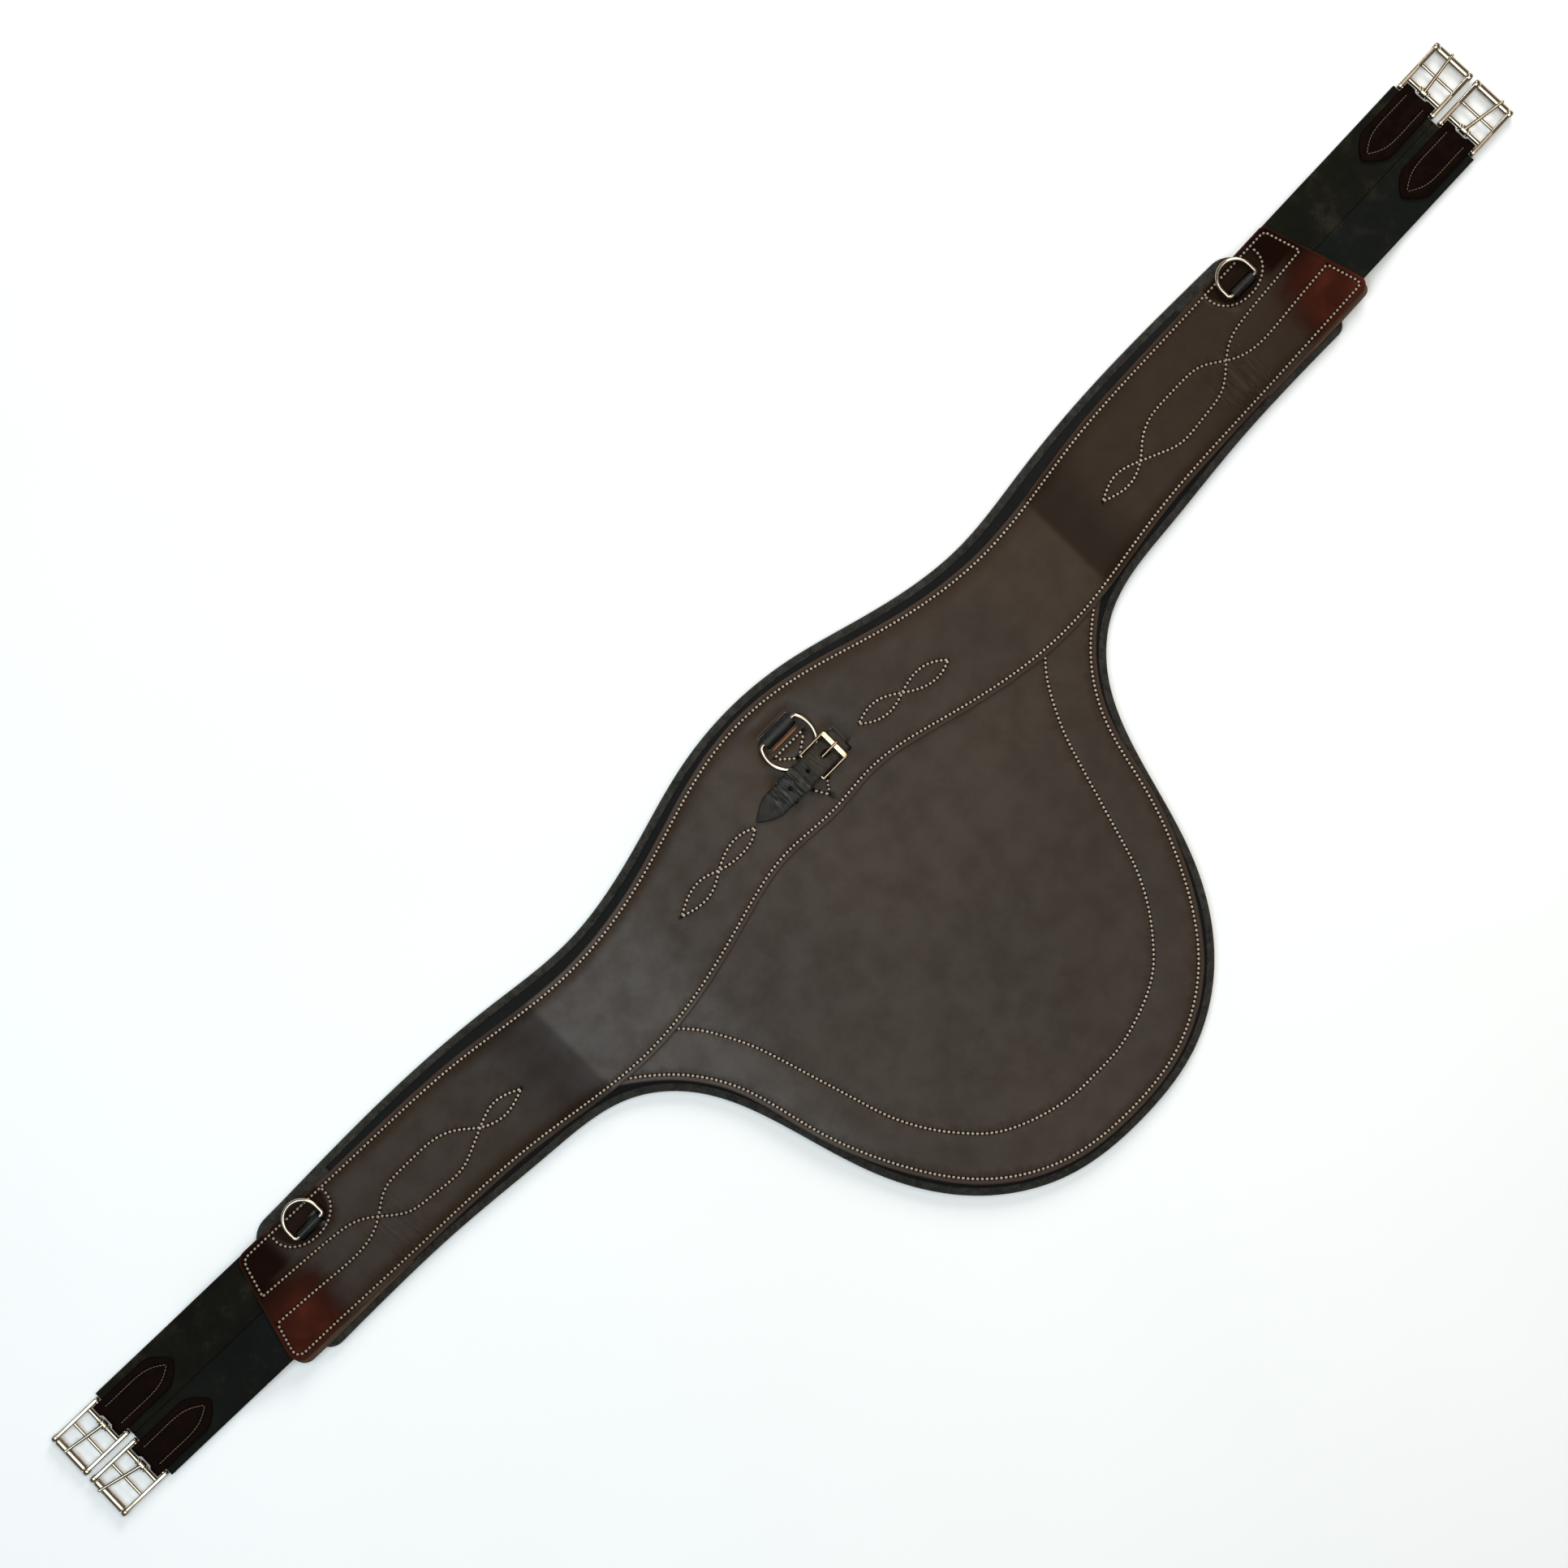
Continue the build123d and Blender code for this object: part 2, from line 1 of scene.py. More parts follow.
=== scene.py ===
"""The looks of a saddle girth with a belly guard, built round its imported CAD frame.

+X runs along the girth, +Y is its front edge, -Y the tip of the belly guard, and z = 0 the
underside of the felt. Shapes are worked out in millimetres and turn into metres as each mesh
is made. Profiles and levels repeat those of the CAD source, but the guard's edge meets the strap's
a few millimetres higher, and the end plies start thinner.
"""
from math import atan2, cos, hypot, pi, radians, sin, tan

import bpy
import numpy as np
from mathutils import Matrix, Vector, noise
from mathutils.geometry import delaunay_2d_cdt
from mathutils.kdtree import KDTree


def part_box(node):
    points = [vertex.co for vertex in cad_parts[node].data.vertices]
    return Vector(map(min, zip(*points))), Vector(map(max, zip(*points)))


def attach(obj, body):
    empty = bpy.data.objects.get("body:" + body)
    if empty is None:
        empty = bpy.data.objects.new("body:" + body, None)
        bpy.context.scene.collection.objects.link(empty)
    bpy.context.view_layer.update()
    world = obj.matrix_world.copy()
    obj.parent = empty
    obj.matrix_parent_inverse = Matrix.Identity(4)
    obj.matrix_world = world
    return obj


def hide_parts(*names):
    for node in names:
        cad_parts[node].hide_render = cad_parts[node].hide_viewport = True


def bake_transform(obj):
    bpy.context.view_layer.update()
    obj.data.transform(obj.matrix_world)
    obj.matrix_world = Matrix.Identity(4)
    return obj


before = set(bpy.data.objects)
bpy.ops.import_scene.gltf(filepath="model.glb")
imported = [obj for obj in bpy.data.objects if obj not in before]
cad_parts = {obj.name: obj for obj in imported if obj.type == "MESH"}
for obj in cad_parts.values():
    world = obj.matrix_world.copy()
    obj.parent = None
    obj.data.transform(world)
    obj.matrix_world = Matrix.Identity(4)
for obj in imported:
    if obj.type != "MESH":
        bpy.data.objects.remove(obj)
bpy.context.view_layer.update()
MM = 0.001
rng = np.random.default_rng(20)

# ---- levels and outlines, as in the CAD source (mm) ----
PAD_T = 9.0
Z_CORE = 11.0
Z_TOP = 16.7
STRAP_T = 2.5
GUARD_T = 2.8
Z_GUARD = Z_CORE + GUARD_T
Z_TAIL = 13.3

PAD_FRONT = [(0, 198.5), (50, 193.6), (105, 179.2), (190, 164.6), (255, 171), (325, 177.4), (450, 178.2)]
PAD_REAR = [
    (0, -198.5), (62, -189.6), (112, -158.5), (151, -101), (176, -22), (200, 30), (232, 58),
    (300, 72), (380, 79.4), (470, 82),
]
PAD_ENDS = {1: ((466, 178.2), (491, 82), 19.0, 9.0), -1: ((481, 178.2), (503, 82), 18.0, 12.0)}
BACKING_INSET = 5.5
BACKING_HALF = 412.0
STRAP_FRONT = [(0, 190), (50, 183.9), (110, 166.6), (200, 152.6), (300, 164), (370, 168), (460, 171.2)]
STRAP_REAR = [
    (0, 95.2), (40, 97.4), (100, 85.6), (205, 69), (300, 80.6), (400, 86.7), (480, 90.4),
]
STRAP_ENDS = {1: ((494, 172.4), (519, 92.2), 5.0, 6.0), -1: ((497.5, 172.6), (521.5, 91.6), 9.0, 9.0)}
PLY_DROP = 4.5
PLY_START = 414.0
GUARD_REAR = [
    (0, -191.5), (52, -185), (103, -156), (143.5, -99.5), (165, -45), (181, 12),
    (204, 46.5), (222, 62.5), (240, 75.5),
]
GUARD_TUCK = 12.0
GUARD_HALF = 236.0
FOAM_HALF = 431.5

# ---- elastic ends, rings and clip, as in the CAD source (mm) ----
SEAM = (510.0, 134.6)
END_TILT = 1.8
LANE = 18.9
ELASTIC_W = 37.4
ELASTIC_T = 2.2
ELASTIC_IN = -35.0
ELASTIC_END = 120.8
BEND_FROM = 12.0
BEND_TO = 58.0
BAR_S = 124.28
BAR_Z = 4.2
CHAPE_HALF = 13.2
CHAPE_TIP = 57.5
CHAPE_SHOULDER = 41.5
CHAPE_OUTER = 3.1
CHAPE_T = 1.7
RING_X = {1: 454.4, -1: 446.8}
RING_BAR_Y = 152.6
RING_BAR_Z = Z_TOP + 1.8
LOOP_HALF = 9.4
LOOP_T = 1.1
LOOP_IN = 2.2
LOOP_TAB = 12.0
CENTRE_X = 13.0
CENTRE_BAR_Y = 163.8
CENTRE_BAR_Z = Z_TOP + 1.9
CENTRE_LOOP_HALF = 13.0
CENTRE_LOOP_IN = 4.3
CLIP_Y = 130.0
BILLET_HALF = 9.3
BILLET_T = 1.6
BILLET_TIP = -41.5
BILLET_SLIT_X = 39.4
CHAPE_SLIT_X = -12.0
CHAPE_LEVEL = Z_TOP + 6.5
BILLET_LEVEL = Z_TOP + 8.3
BILLET_ARCH = Z_TOP + 11.1
TONGUE_HOLE = (21.3, 28.6)
PIVOT = (12.0, Z_TOP + 7.2)

# ---- sewing ----
PITCH = 3.25            # from one needle hole to the next
SEW_IN = 3.9            # rows of stitches from the leather's edge
GROOVE = 0.32           # how far the thread pulls the leather down
PIT = 0.75              # and how deep a needle hole is
BEAD = 0.33             # half a visible stitch's length, as a share of the pitch


# ---- Camera, light and floor ----
def look(eye, aim, roll):
    """A camera matrix; roll turns the picture's right-hand side away from +X, clockwise."""
    forward = (Vector(aim) - Vector(eye)).normalized()
    right = Vector((cos(radians(roll)), -sin(radians(roll)), 0))
    right = (right - forward * right.dot(forward)).normalized()
    up = right.cross(forward)
    m = Matrix((right, up, -forward)).transposed().to_4x4()
    m.translation = Vector(eye)
    return m


camera = bpy.data.objects.new("camera", bpy.data.cameras.new("camera"))
bpy.context.scene.collection.objects.link(camera)
camera.data.sensor_width = 36
camera.data.lens = 84.0
camera.data.clip_end = 20
camera.matrix_world = look((-0.106, 0.1068, 2.5), (-0.0086, 0.1356, 0), 45.25)
bpy.context.scene.camera = camera


def softbox(name, eye, aim, size, power, colour=(1, 1, 1)):
    data = bpy.data.lights.new(name, "AREA")
    data.shape = "RECTANGLE"
    data.size, data.size_y = size
    data.energy = power
    data.color = colour
    lamp = bpy.data.objects.new(name, data)
    bpy.context.scene.collection.objects.link(lamp)
    lamp.matrix_world = look(eye, aim, 0)
    return lamp


softbox("softbox_cool", (-0.85, 0.35, 2.6), (-0.75, 0.30, 0), (1.5, 1.5), 37, (0.72, 0.89, 1.0))
softbox("softbox_warm", (0.55, -0.25, 2.7), (0.45, -0.20, 0), (1.3, 1.7), 24, (1.0, 0.92, 0.78))
softbox("softbox_side", (1.9, 1.3, 1.6), (0.2, 0.1, 0), (1.2, 1.2), 40, (1.0, 0.97, 0.92))

world = bpy.data.worlds.new("studio")
bpy.context.scene.world = world
world.use_nodes = True
world.node_tree.nodes["Background"].inputs["Color"].default_value = (1.0, 0.98, 0.95, 1)
world.node_tree.nodes["Background"].inputs["Strength"].default_value = 0.15
bpy.context.scene.view_settings.view_transform = "Standard"


# ---- Curves ----
def lengths(points):
    steps = np.linalg.norm(np.diff(points, axis=0), axis=1)
    return np.concatenate([[0], np.cumsum(steps)])


def even(points, step, closed=False):
    """The same line with its points about one step apart."""
    p = np.array(points, float)
    if closed:
        p = np.vstack([p, p[:1]])
    s = lengths(p)
    count = max(2, round(s[-1] / step))
    at = np.linspace(0, s[-1], count + 1)
    q = np.stack([np.interp(at, s, p[:, i]) for i in range(p.shape[1])], 1)
    return q[:-1] if closed else q


def spline(points, step=1.0):
    """A natural cubic through the points, spaced by its chords."""
    p = np.array(points, float)
    t = lengths(p)
    h = np.diff(t)
    n = len(p)
    system = np.eye(n)
    bend = np.zeros((n, 2))
    for i in range(1, n - 1):
        system[i, i - 1:i + 2] = h[i - 1], 2 * (h[i - 1] + h[i]), h[i]
        bend[i] = 6 * ((p[i + 1] - p[i]) / h[i] - (p[i] - p[i - 1]) / h[i - 1])
    m = np.linalg.solve(system, bend)
    at = np.linspace(0, t[-1], int(t[-1] / 0.25) + 2)
    k = np.clip(np.searchsorted(t, at, side="right") - 1, 0, n - 2)
    w = (t[k + 1] - at)[:, None]
    u = (at - t[k])[:, None]
    g = h[k][:, None]
    q = (m[k] * w ** 3 + m[k + 1] * u ** 3) / (6 * g)
    q += (p[k] / g - m[k] * g / 6) * w + (p[k + 1] / g - m[k + 1] * g / 6) * u
    return even(q, step)


def whole(half):
    """A profile across both halves from its right half, which starts on x = 0."""
    return [(-x, y) for x, y in half[:0:-1]] + list(half)


def profile(half):
    return spline(whole(half))


def shifted(half, dy, end=1e9):
    return [(x, y + dy) for x, y in half if x <= end]


def flipped(points):
    return [(-x, y) for x, y in points]


def unit(vectors):
    return vectors / np.linalg.norm(vectors, axis=1)[:, None]


def moved(line, distance):
    """An open line moved square to itself, to its left."""
    heading = unit(np.gradient(line, axis=0))
    return line + np.stack([-heading[:, 1], heading[:, 0]], 1) * distance


def corner(a, b, c, r, count=8):
    """The arc of radius r that rounds the corner b between a and c."""
    a, b, c = (np.array(p, float) for p in (a, b, c))
    u = (a - b) / np.linalg.norm(a - b)
    v = (c - b) / np.linalg.norm(c - b)
    half = np.arccos(np.clip(u @ v, -1, 1)) / 2
    if half > pi / 2 - 1e-4:
        return [b]
    centre = b + (u + v) / np.linalg.norm(u + v) * r / sin(half)
    start = b + u * r / tan(half) - centre
    stop = b + v * r / tan(half) - centre
    first = atan2(start[1], start[0])
    turn = (atan2(stop[1], stop[0]) - first + pi) % (2 * pi) - pi
    angles = first + turn * np.linspace(0, 1, count)
    return [centre + r * np.array((cos(a), sin(a))) for a in angles]


def bent_path(points, radii):
    """A side-view path of straight runs with rounded corners."""
    out = [np.array(points[0], float)]
    for i in range(1, len(points) - 1):
        out += corner(points[i - 1], points[i], points[i + 1], radii[i - 1])
    return np.array(out + [np.array(points[-1], float)])


def band(front, rear, ends, step=2.2):
    """The closed outline between a front and a rear profile, with slanted, rounded ends."""
    f = profile(front)
    r = profile(rear)[::-1]
    turns = {}
    for side, (top, bottom, r_top, r_bottom) in ends.items():
        turns[side] = corner(f[-1], top, bottom, r_top) + corner(top, bottom, r[0], r_bottom)
    return even(np.vstack([f, turns[1], r, flipped(turns[-1][::-1])]), step, closed=True)


def between(upper, lower, step=2.2):
    return even(np.vstack([upper, lower[::-1]]), step, closed=True)


def rectangle(x0, x1, y0, y1, step=2.0, r=0.0):
    corners = [(x0, y0), (x1, y0), (x1, y1), (x0, y1)]
    if r:
        points = []
        for i in range(4):
            points += corner(corners[i - 1], corners[i], corners[(i + 1) % 4], r, 5)
        corners = points
    out = []
    for a, b in zip(corners, corners[1:] + corners[:1]):
        out += list(even([a, b], step)[:-1]) if hypot(b[0] - a[0], b[1] - a[1]) > 1e-6 else []
    return np.array(out)


def circle(x, y, r, count=14):
    angles = [2 * pi * k / count for k in range(count)]
    return np.array([(x + r * cos(a), y + r * sin(a)) for a in angles])


def smooth(t):
    t = np.clip(t, 0, 1)
    return t * t * (3 - 2 * t)


def near(points):
    """A function that gives the distance from any points to the nearest of these."""
    tree = KDTree(len(points))
    for i, (x, y) in enumerate(points):
        tree.insert((x, y, 0), i)
    tree.balance()
    return lambda where: np.array([tree.find((x, y, 0))[2] for x, y in where])


def near_loops(loops):
    return near(np.vstack([even(loop, 0.3, closed=True) for loop in loops]))


def inside(points, loops):
    """Whether each point lies within the loops, by crossing count."""
    hit = np.zeros(len(points), bool)
    for loop in loops:
        a, b = loop, np.roll(loop, -1, 0)
        rise = np.where(b[:, 1] == a[:, 1], 1e-12, b[:, 1] - a[:, 1])
        for start in range(0, len(points), 4000):
            x, y = points[start:start + 4000].T[:, :, None]
            span = (a[:, 1] > y) != (b[:, 1] > y)
            cut = (b[:, 0] - a[:, 0]) * (y - a[:, 1]) / rise + a[:, 0]
            hit[start:start + 4000] ^= (span & (x < cut)).sum(1) % 2 == 1
    return hit


def inset(loop, distance):
    """A closed loop moved inwards (outwards if negative), less what would fold over."""
    area = np.sum(loop[:, 0] * np.roll(loop[:, 1], -1) - loop[:, 1] * np.roll(loop[:, 0], -1))
    heading = unit(np.roll(loop, -1, 0) - np.roll(loop, 1, 0))
    square = np.stack([-heading[:, 1], heading[:, 0]], 1) * np.sign(area)
    ring = loop + square * distance
    return ring[near_loops([loop])(ring) > abs(distance) * 0.9]


def thinned(points, gap):
    """The points in order, less those within a gap of an earlier one."""
    cells, kept = {}, []
    for i, (x, y) in enumerate(points):
        cx, cy = int(x // gap), int(y // gap)
        close = False
        for dx in (-1, 0, 1):
            for dy in (-1, 0, 1):
                for j in cells.get((cx + dx, cy + dy), ()):
                    close = close or hypot(points[j][0] - x, points[j][1] - y) < gap
        if not close:
            cells.setdefault((cx, cy), []).append(i)
            kept.append(i)
    return np.array(kept, int)


# ---- Leather, felt and foam panels ----
class Panel:
    """A flat piece of soft sheet: an outline, maybe holes and rows of stitches, and a surface.

    It is laid out flat in (u, v), cut into triangles that follow its edges and stitches,
    and bent to its place at the end. height(uv, d) adds to its top, d being the distance to
    its edge; its bottom lies one thickness lower, or thin(uv, d) lower where thin is given.
    """

    def __init__(
        self, loops, top, thickness, rows=(), grid=5.0, edge=0.8, height=None, thin=None, place=None,
    ):
        self.loops = [np.array(loop, float) for loop in loops]
        self.top, self.thickness, self.edge = top, thickness, edge
        self.rows, self.grid = rows, grid
        self.height, self.thin, self.place = height, thin, place
        self.to_edge = near_loops(self.loops)

    def rim(self, d):
        e = self.edge
        return e - np.sqrt(np.maximum(e * e - np.maximum(e - d, 0) ** 2, 0))

    def level(self, uv, d=None):
        """The height of the top surface, grooves left out."""
        d = self.to_edge(uv) if d is None else d
        z = self.top - self.rim(d)
        return z + self.height(uv, d) if self.height else z

    def layout(self):
        """Points of the flat pattern with, for each, its sink below the surface and its pit mark, a mask for
        painted shade in needle holes and stitch grooves.
        """
        points, sink, pit = [np.vstack(self.loops)], [], []
        sink.append(np.zeros(len(points[0])))
        pit.append(np.zeros(len(points[0])))

        def accept(p, s, k, clear, own=0.0):
            if not len(p):
                return
            s, k = np.zeros(len(p)) + s, np.zeros(len(p)) + k
            keep = inside(p, self.loops) & (near(np.vstack(points))(p) > clear)
            p, s, k = p[keep], s[keep], k[keep]
            if own and len(p):
                chosen = thinned(p, own)
                p, s, k = p[chosen], s[chosen], k[chosen]
            points.append(p)
            sink.append(s)
            pit.append(k)

        for share in (0.12, 0.4, 1.0, 1.7, 2.2, 2.7):
            for i, loop in enumerate(self.loops):
                ring = inset(loop, share * self.edge * (1 if i == 0 else -1))
                accept(ring, 0, 0, 0.08 * self.edge)
        for offset, s_mid, s_hole, k_mid, k_hole in (
            (0, GROOVE, PIT, 0.7, 1.0), (0.75, 0.18, 0.35, 0.25, 0.9), (1.6, 0, 0, 0, 0.1),
        ):
            for row in self.rows:
                line = np.zeros((2 * len(row) - 1, 2))
                line[::2] = row
                line[1::2] = (row[1:] + row[:-1]) / 2
                hole = np.arange(len(line)) % 2 == 0
                for side in ((1, -1) if offset else (1,)):
                    p = moved(line, side * offset)
                    accept(p, np.where(hole, s_hole, s_mid), np.where(hole, k_hole, k_mid), 0.42, 0.42)
        low, high = self.loops[0].min(0), self.loops[0].max(0)
        g = self.grid
        xs = np.arange(low[0] + g / 2, high[0], g)
        ys = np.arange(low[1] + g / 2, high[1], g * 0.866)
        grid = np.array([(x + (g / 2 if j % 2 else 0), y) for j, y in enumerate(ys) for x in xs])
        if len(grid):
            accept(grid, 0, 0, 0.5 * g)
        return np.vstack(points), np.concatenate(sink), np.concatenate(pit)

    def build(self, name):
        points, sink, pit = self.layout()
        edges, start = [], 0
        for loop in self.loops:
            n = len(loop)
            edges += [(start + i, start + (i + 1) % n) for i in range(n)]
            start += n
        cut = delaunay_2d_cdt([Vector(p) for p in points], edges, [], 1, 1e-4)
        uv = np.array([tuple(v) for v in cut[0]])
        first = [ids[0] if ids else -1 for ids in cut[3]]
        sink = np.array([sink[i] if i >= 0 else 0.0 for i in first])
        pit = np.array([pit[i] if i >= 0 else 0.0 for i in first])
        faces = np.array([f for f in cut[2] if len(f) == 3])
        if len(self.loops) > 1:
            faces = faces[~inside(uv[faces].mean(1), self.loops[1:])]
        a, b, c = uv[faces[:, 0]], uv[faces[:, 1]], uv[faces[:, 2]]
        area = (b[:, 0] - a[:, 0]) * (c[:, 1] - a[:, 1]) - (b[:, 1] - a[:, 1]) * (c[:, 0] - a[:, 0])
        faces[area < 0] = faces[area < 0][:, ::-1]
        d = self.to_edge(uv)
        d[d < 0.16 * self.edge * 0.3] = 0
        upper = self.level(uv, d)
        body = self.thin(uv, d) if self.thin else self.thickness
        lower = upper + self.rim(d) - body + self.rim(d) * 0.6
        lower = np.minimum(lower, upper - 0.15)
        upper = upper - sink
        n = len(uv)
        flat = np.vstack([np.column_stack([uv, upper]), np.column_stack([uv, lower])])
        if self.place:
            flat = self.place(flat)
        used = np.zeros(2 * n, bool)
        used[faces.ravel()] = True
        used[faces.ravel() + n] = True
        order = np.cumsum(used) - 1
        polygons = [[int(order[i]) for i in f] for f in walled(faces.tolist(), n)]
        o = mesh_object(name, flat[used], polygons)
        rim = np.exp(-(near_loops(self.loops[:1])(uv) / 1.3) ** 2)
        # pit also masks painted shade round cut holes and slits, darkest on their walls
        deep = pit * 0
        if len(self.loops) > 1:
            to_cut = near_loops(self.loops[1:])(uv)
            pit = np.maximum(pit, np.exp(-(to_cut / 0.8) ** 2))
            deep = (to_cut < 0.05) * 1.0
        for key, values in (("rim", np.tile(rim, 2)), ("pit", np.concatenate([pit, deep]))):
            put(o, key, values[used])
        return o


def walled(top, n):
    """A top's faces, the same ones turned over n points further on, and walls round the edges."""
    directed = {(a, b) for f in top for a, b in zip(f, f[1:] + f[:1])}
    walls = [[q, p, p + n, q + n] for p, q in sorted(directed) if (q, p) not in directed]
    return top + [[i + n for i in f[::-1]] for f in top] + walls


def mesh_object(name, points, faces):
    mesh = bpy.data.meshes.new(name)
    mesh.from_pydata((np.asarray(points) * MM).tolist(), [], faces)
    mesh.validate()
    mesh.shade_smooth()
    o = bpy.data.objects.new(name, mesh)
    bpy.context.scene.collection.objects.link(o)
    return o


def put(o, key, values):
    attribute = o.data.attributes.new(key, "FLOAT", "POINT")
    attribute.data.foreach_set("value", np.asarray(values, np.float32))


def stitched(lines, pitch=PITCH):
    """Rows of needle holes along the given lines."""
    rows = []
    for line in lines:
        length = lengths(np.array(line))[-1]
        rows.append(even(line, length / max(1, round(length / pitch))))
    return rows


def thread(name, panel, width=0.80, tall=0.5, share=BEAD):
    """A bead of thread for each stitch of a panel's rows, dipping into its two holes."""
    around = np.arange(8) * 2 * pi / 8
    bead = [(-1, 0, -0.62)]
    for t in np.sin(np.linspace(-pi / 2, pi / 2, 9))[1:-1]:
        r = (1 - abs(t) ** 2.4) ** 0.5
        bead += [(t, cos(a) * width * r, 0.16 - 0.62 * abs(t) ** 3 + sin(a) * tall * r) for a in around]
    bead = np.array(bead + [(1, 0, -0.62)])
    ring, last = len(around), len(bead) - 1
    shell = []
    for k in range(ring):
        n = (k + 1) % ring
        shell += [(0, 1 + n, 1 + k), (last, last - ring + k, last - ring + n)]
        shell += [(p + k, p + n, p + ring + n, p + ring + k) for p in range(1, last - ring, ring)]
    beads, faces = [], []
    for row in panel.rows:
        mids = (row[1:] + row[:-1]) / 2
        base = panel.level(mids) - 0.12
        for (x, y), step, z in zip(mids, row[1:] - row[:-1], base):
            heading = atan2(step[1], step[0]) + radians(6 + 4 * rng.standard_normal())
            ux, uy = cos(heading), sin(heading)
            along, side, up = bead.T * [[np.linalg.norm(step) * share], [1], [1]]
            faces += [[i + len(beads) * len(bead) for i in f] for f in shell]
            beads.append(np.column_stack([x + ux * along - uy * side, y + uy * along + ux * side, z + up]))
    points = np.vstack(beads)
    if panel.place:
        points = panel.place(points)
    return mesh_object(name, points, faces)


def on_path(path, axis="x", shift=0.0):
    """Bends flat work along a side-view path: u runs along it, v across, w off its left side."""
    line = even(path, 0.2)
    s = lengths(line)
    heading = unit(np.gradient(line, axis=0))

    def place(p):
        u, v, w = p.T
        a, z, ta, tz = (np.interp(u, s, column) for column in (*line.T, *heading.T))
        over = u - np.clip(u, 0, s[-1])
        a = a + over * ta - tz * w
        z = z + over * tz + ta * w
        return np.column_stack([a, v + shift, z]) if axis == "x" else np.column_stack([v + shift, a, z])

    return place, s[-1]


def to_end(side, lane, along, z):
    """Where work made for an end's own frame goes on the girth."""
    c, s = cos(radians(END_TILT)), sin(radians(END_TILT))

    def place(p):
        x = p[:, 0] + along
        y = p[:, 1] + lane * LANE
        return np.column_stack([side * (SEAM[0] + c * x - s * y), SEAM[1] + s * x + c * y, p[:, 2] + z])

    return place


def both(first, second):
    return lambda p: second(first(p))


def turned_out(o):
    """Mirrored work has its faces inside out; this turns them round again."""
    o.data.flip_normals()
    return o


def strip(name, length, half, thickness, step, lanes, height, place):
    """A woven band as a regular grid with rounded edges, bent to its place."""
    us = np.linspace(0, length, max(2, round(length / step)) + 1)
    turn = np.linspace(-1, 1, lanes)
    vs = half * np.sign(turn) * (1 - (1 - abs(turn)) ** 1.15)
    u, v = np.meshgrid(us, vs, indexing="ij")
    round_off = np.sqrt(np.clip(1 - ((np.abs(v) - half + 0.6) / 0.6).clip(0, 1) ** 2, 0, 1))
    up = height(u, v) + thickness / 2 * round_off
    low = -height(u, v) * 0.6 - thickness / 2 * round_off
    flat = np.vstack([np.column_stack([a.ravel() for a in (u, v, w)]) for w in (up, low)])
    corners = (i * lanes + j for i in range(len(us) - 1) for j in range(lanes - 1))
    top = [[p, p + lanes, p + lanes + 1, p + 1] for p in corners]
    return mesh_object(name, place(flat), walled(top, len(us) * lanes))


# ---- Materials ----
def colour(r, g, b):
    """Linear colour from the usual 0 to 255 values."""
    linear = (c / 255 / 12.92 if c <= 10 else ((c / 255 + 0.055) / 1.055) ** 2.4 for c in (r, g, b))
    return (*linear, 1)


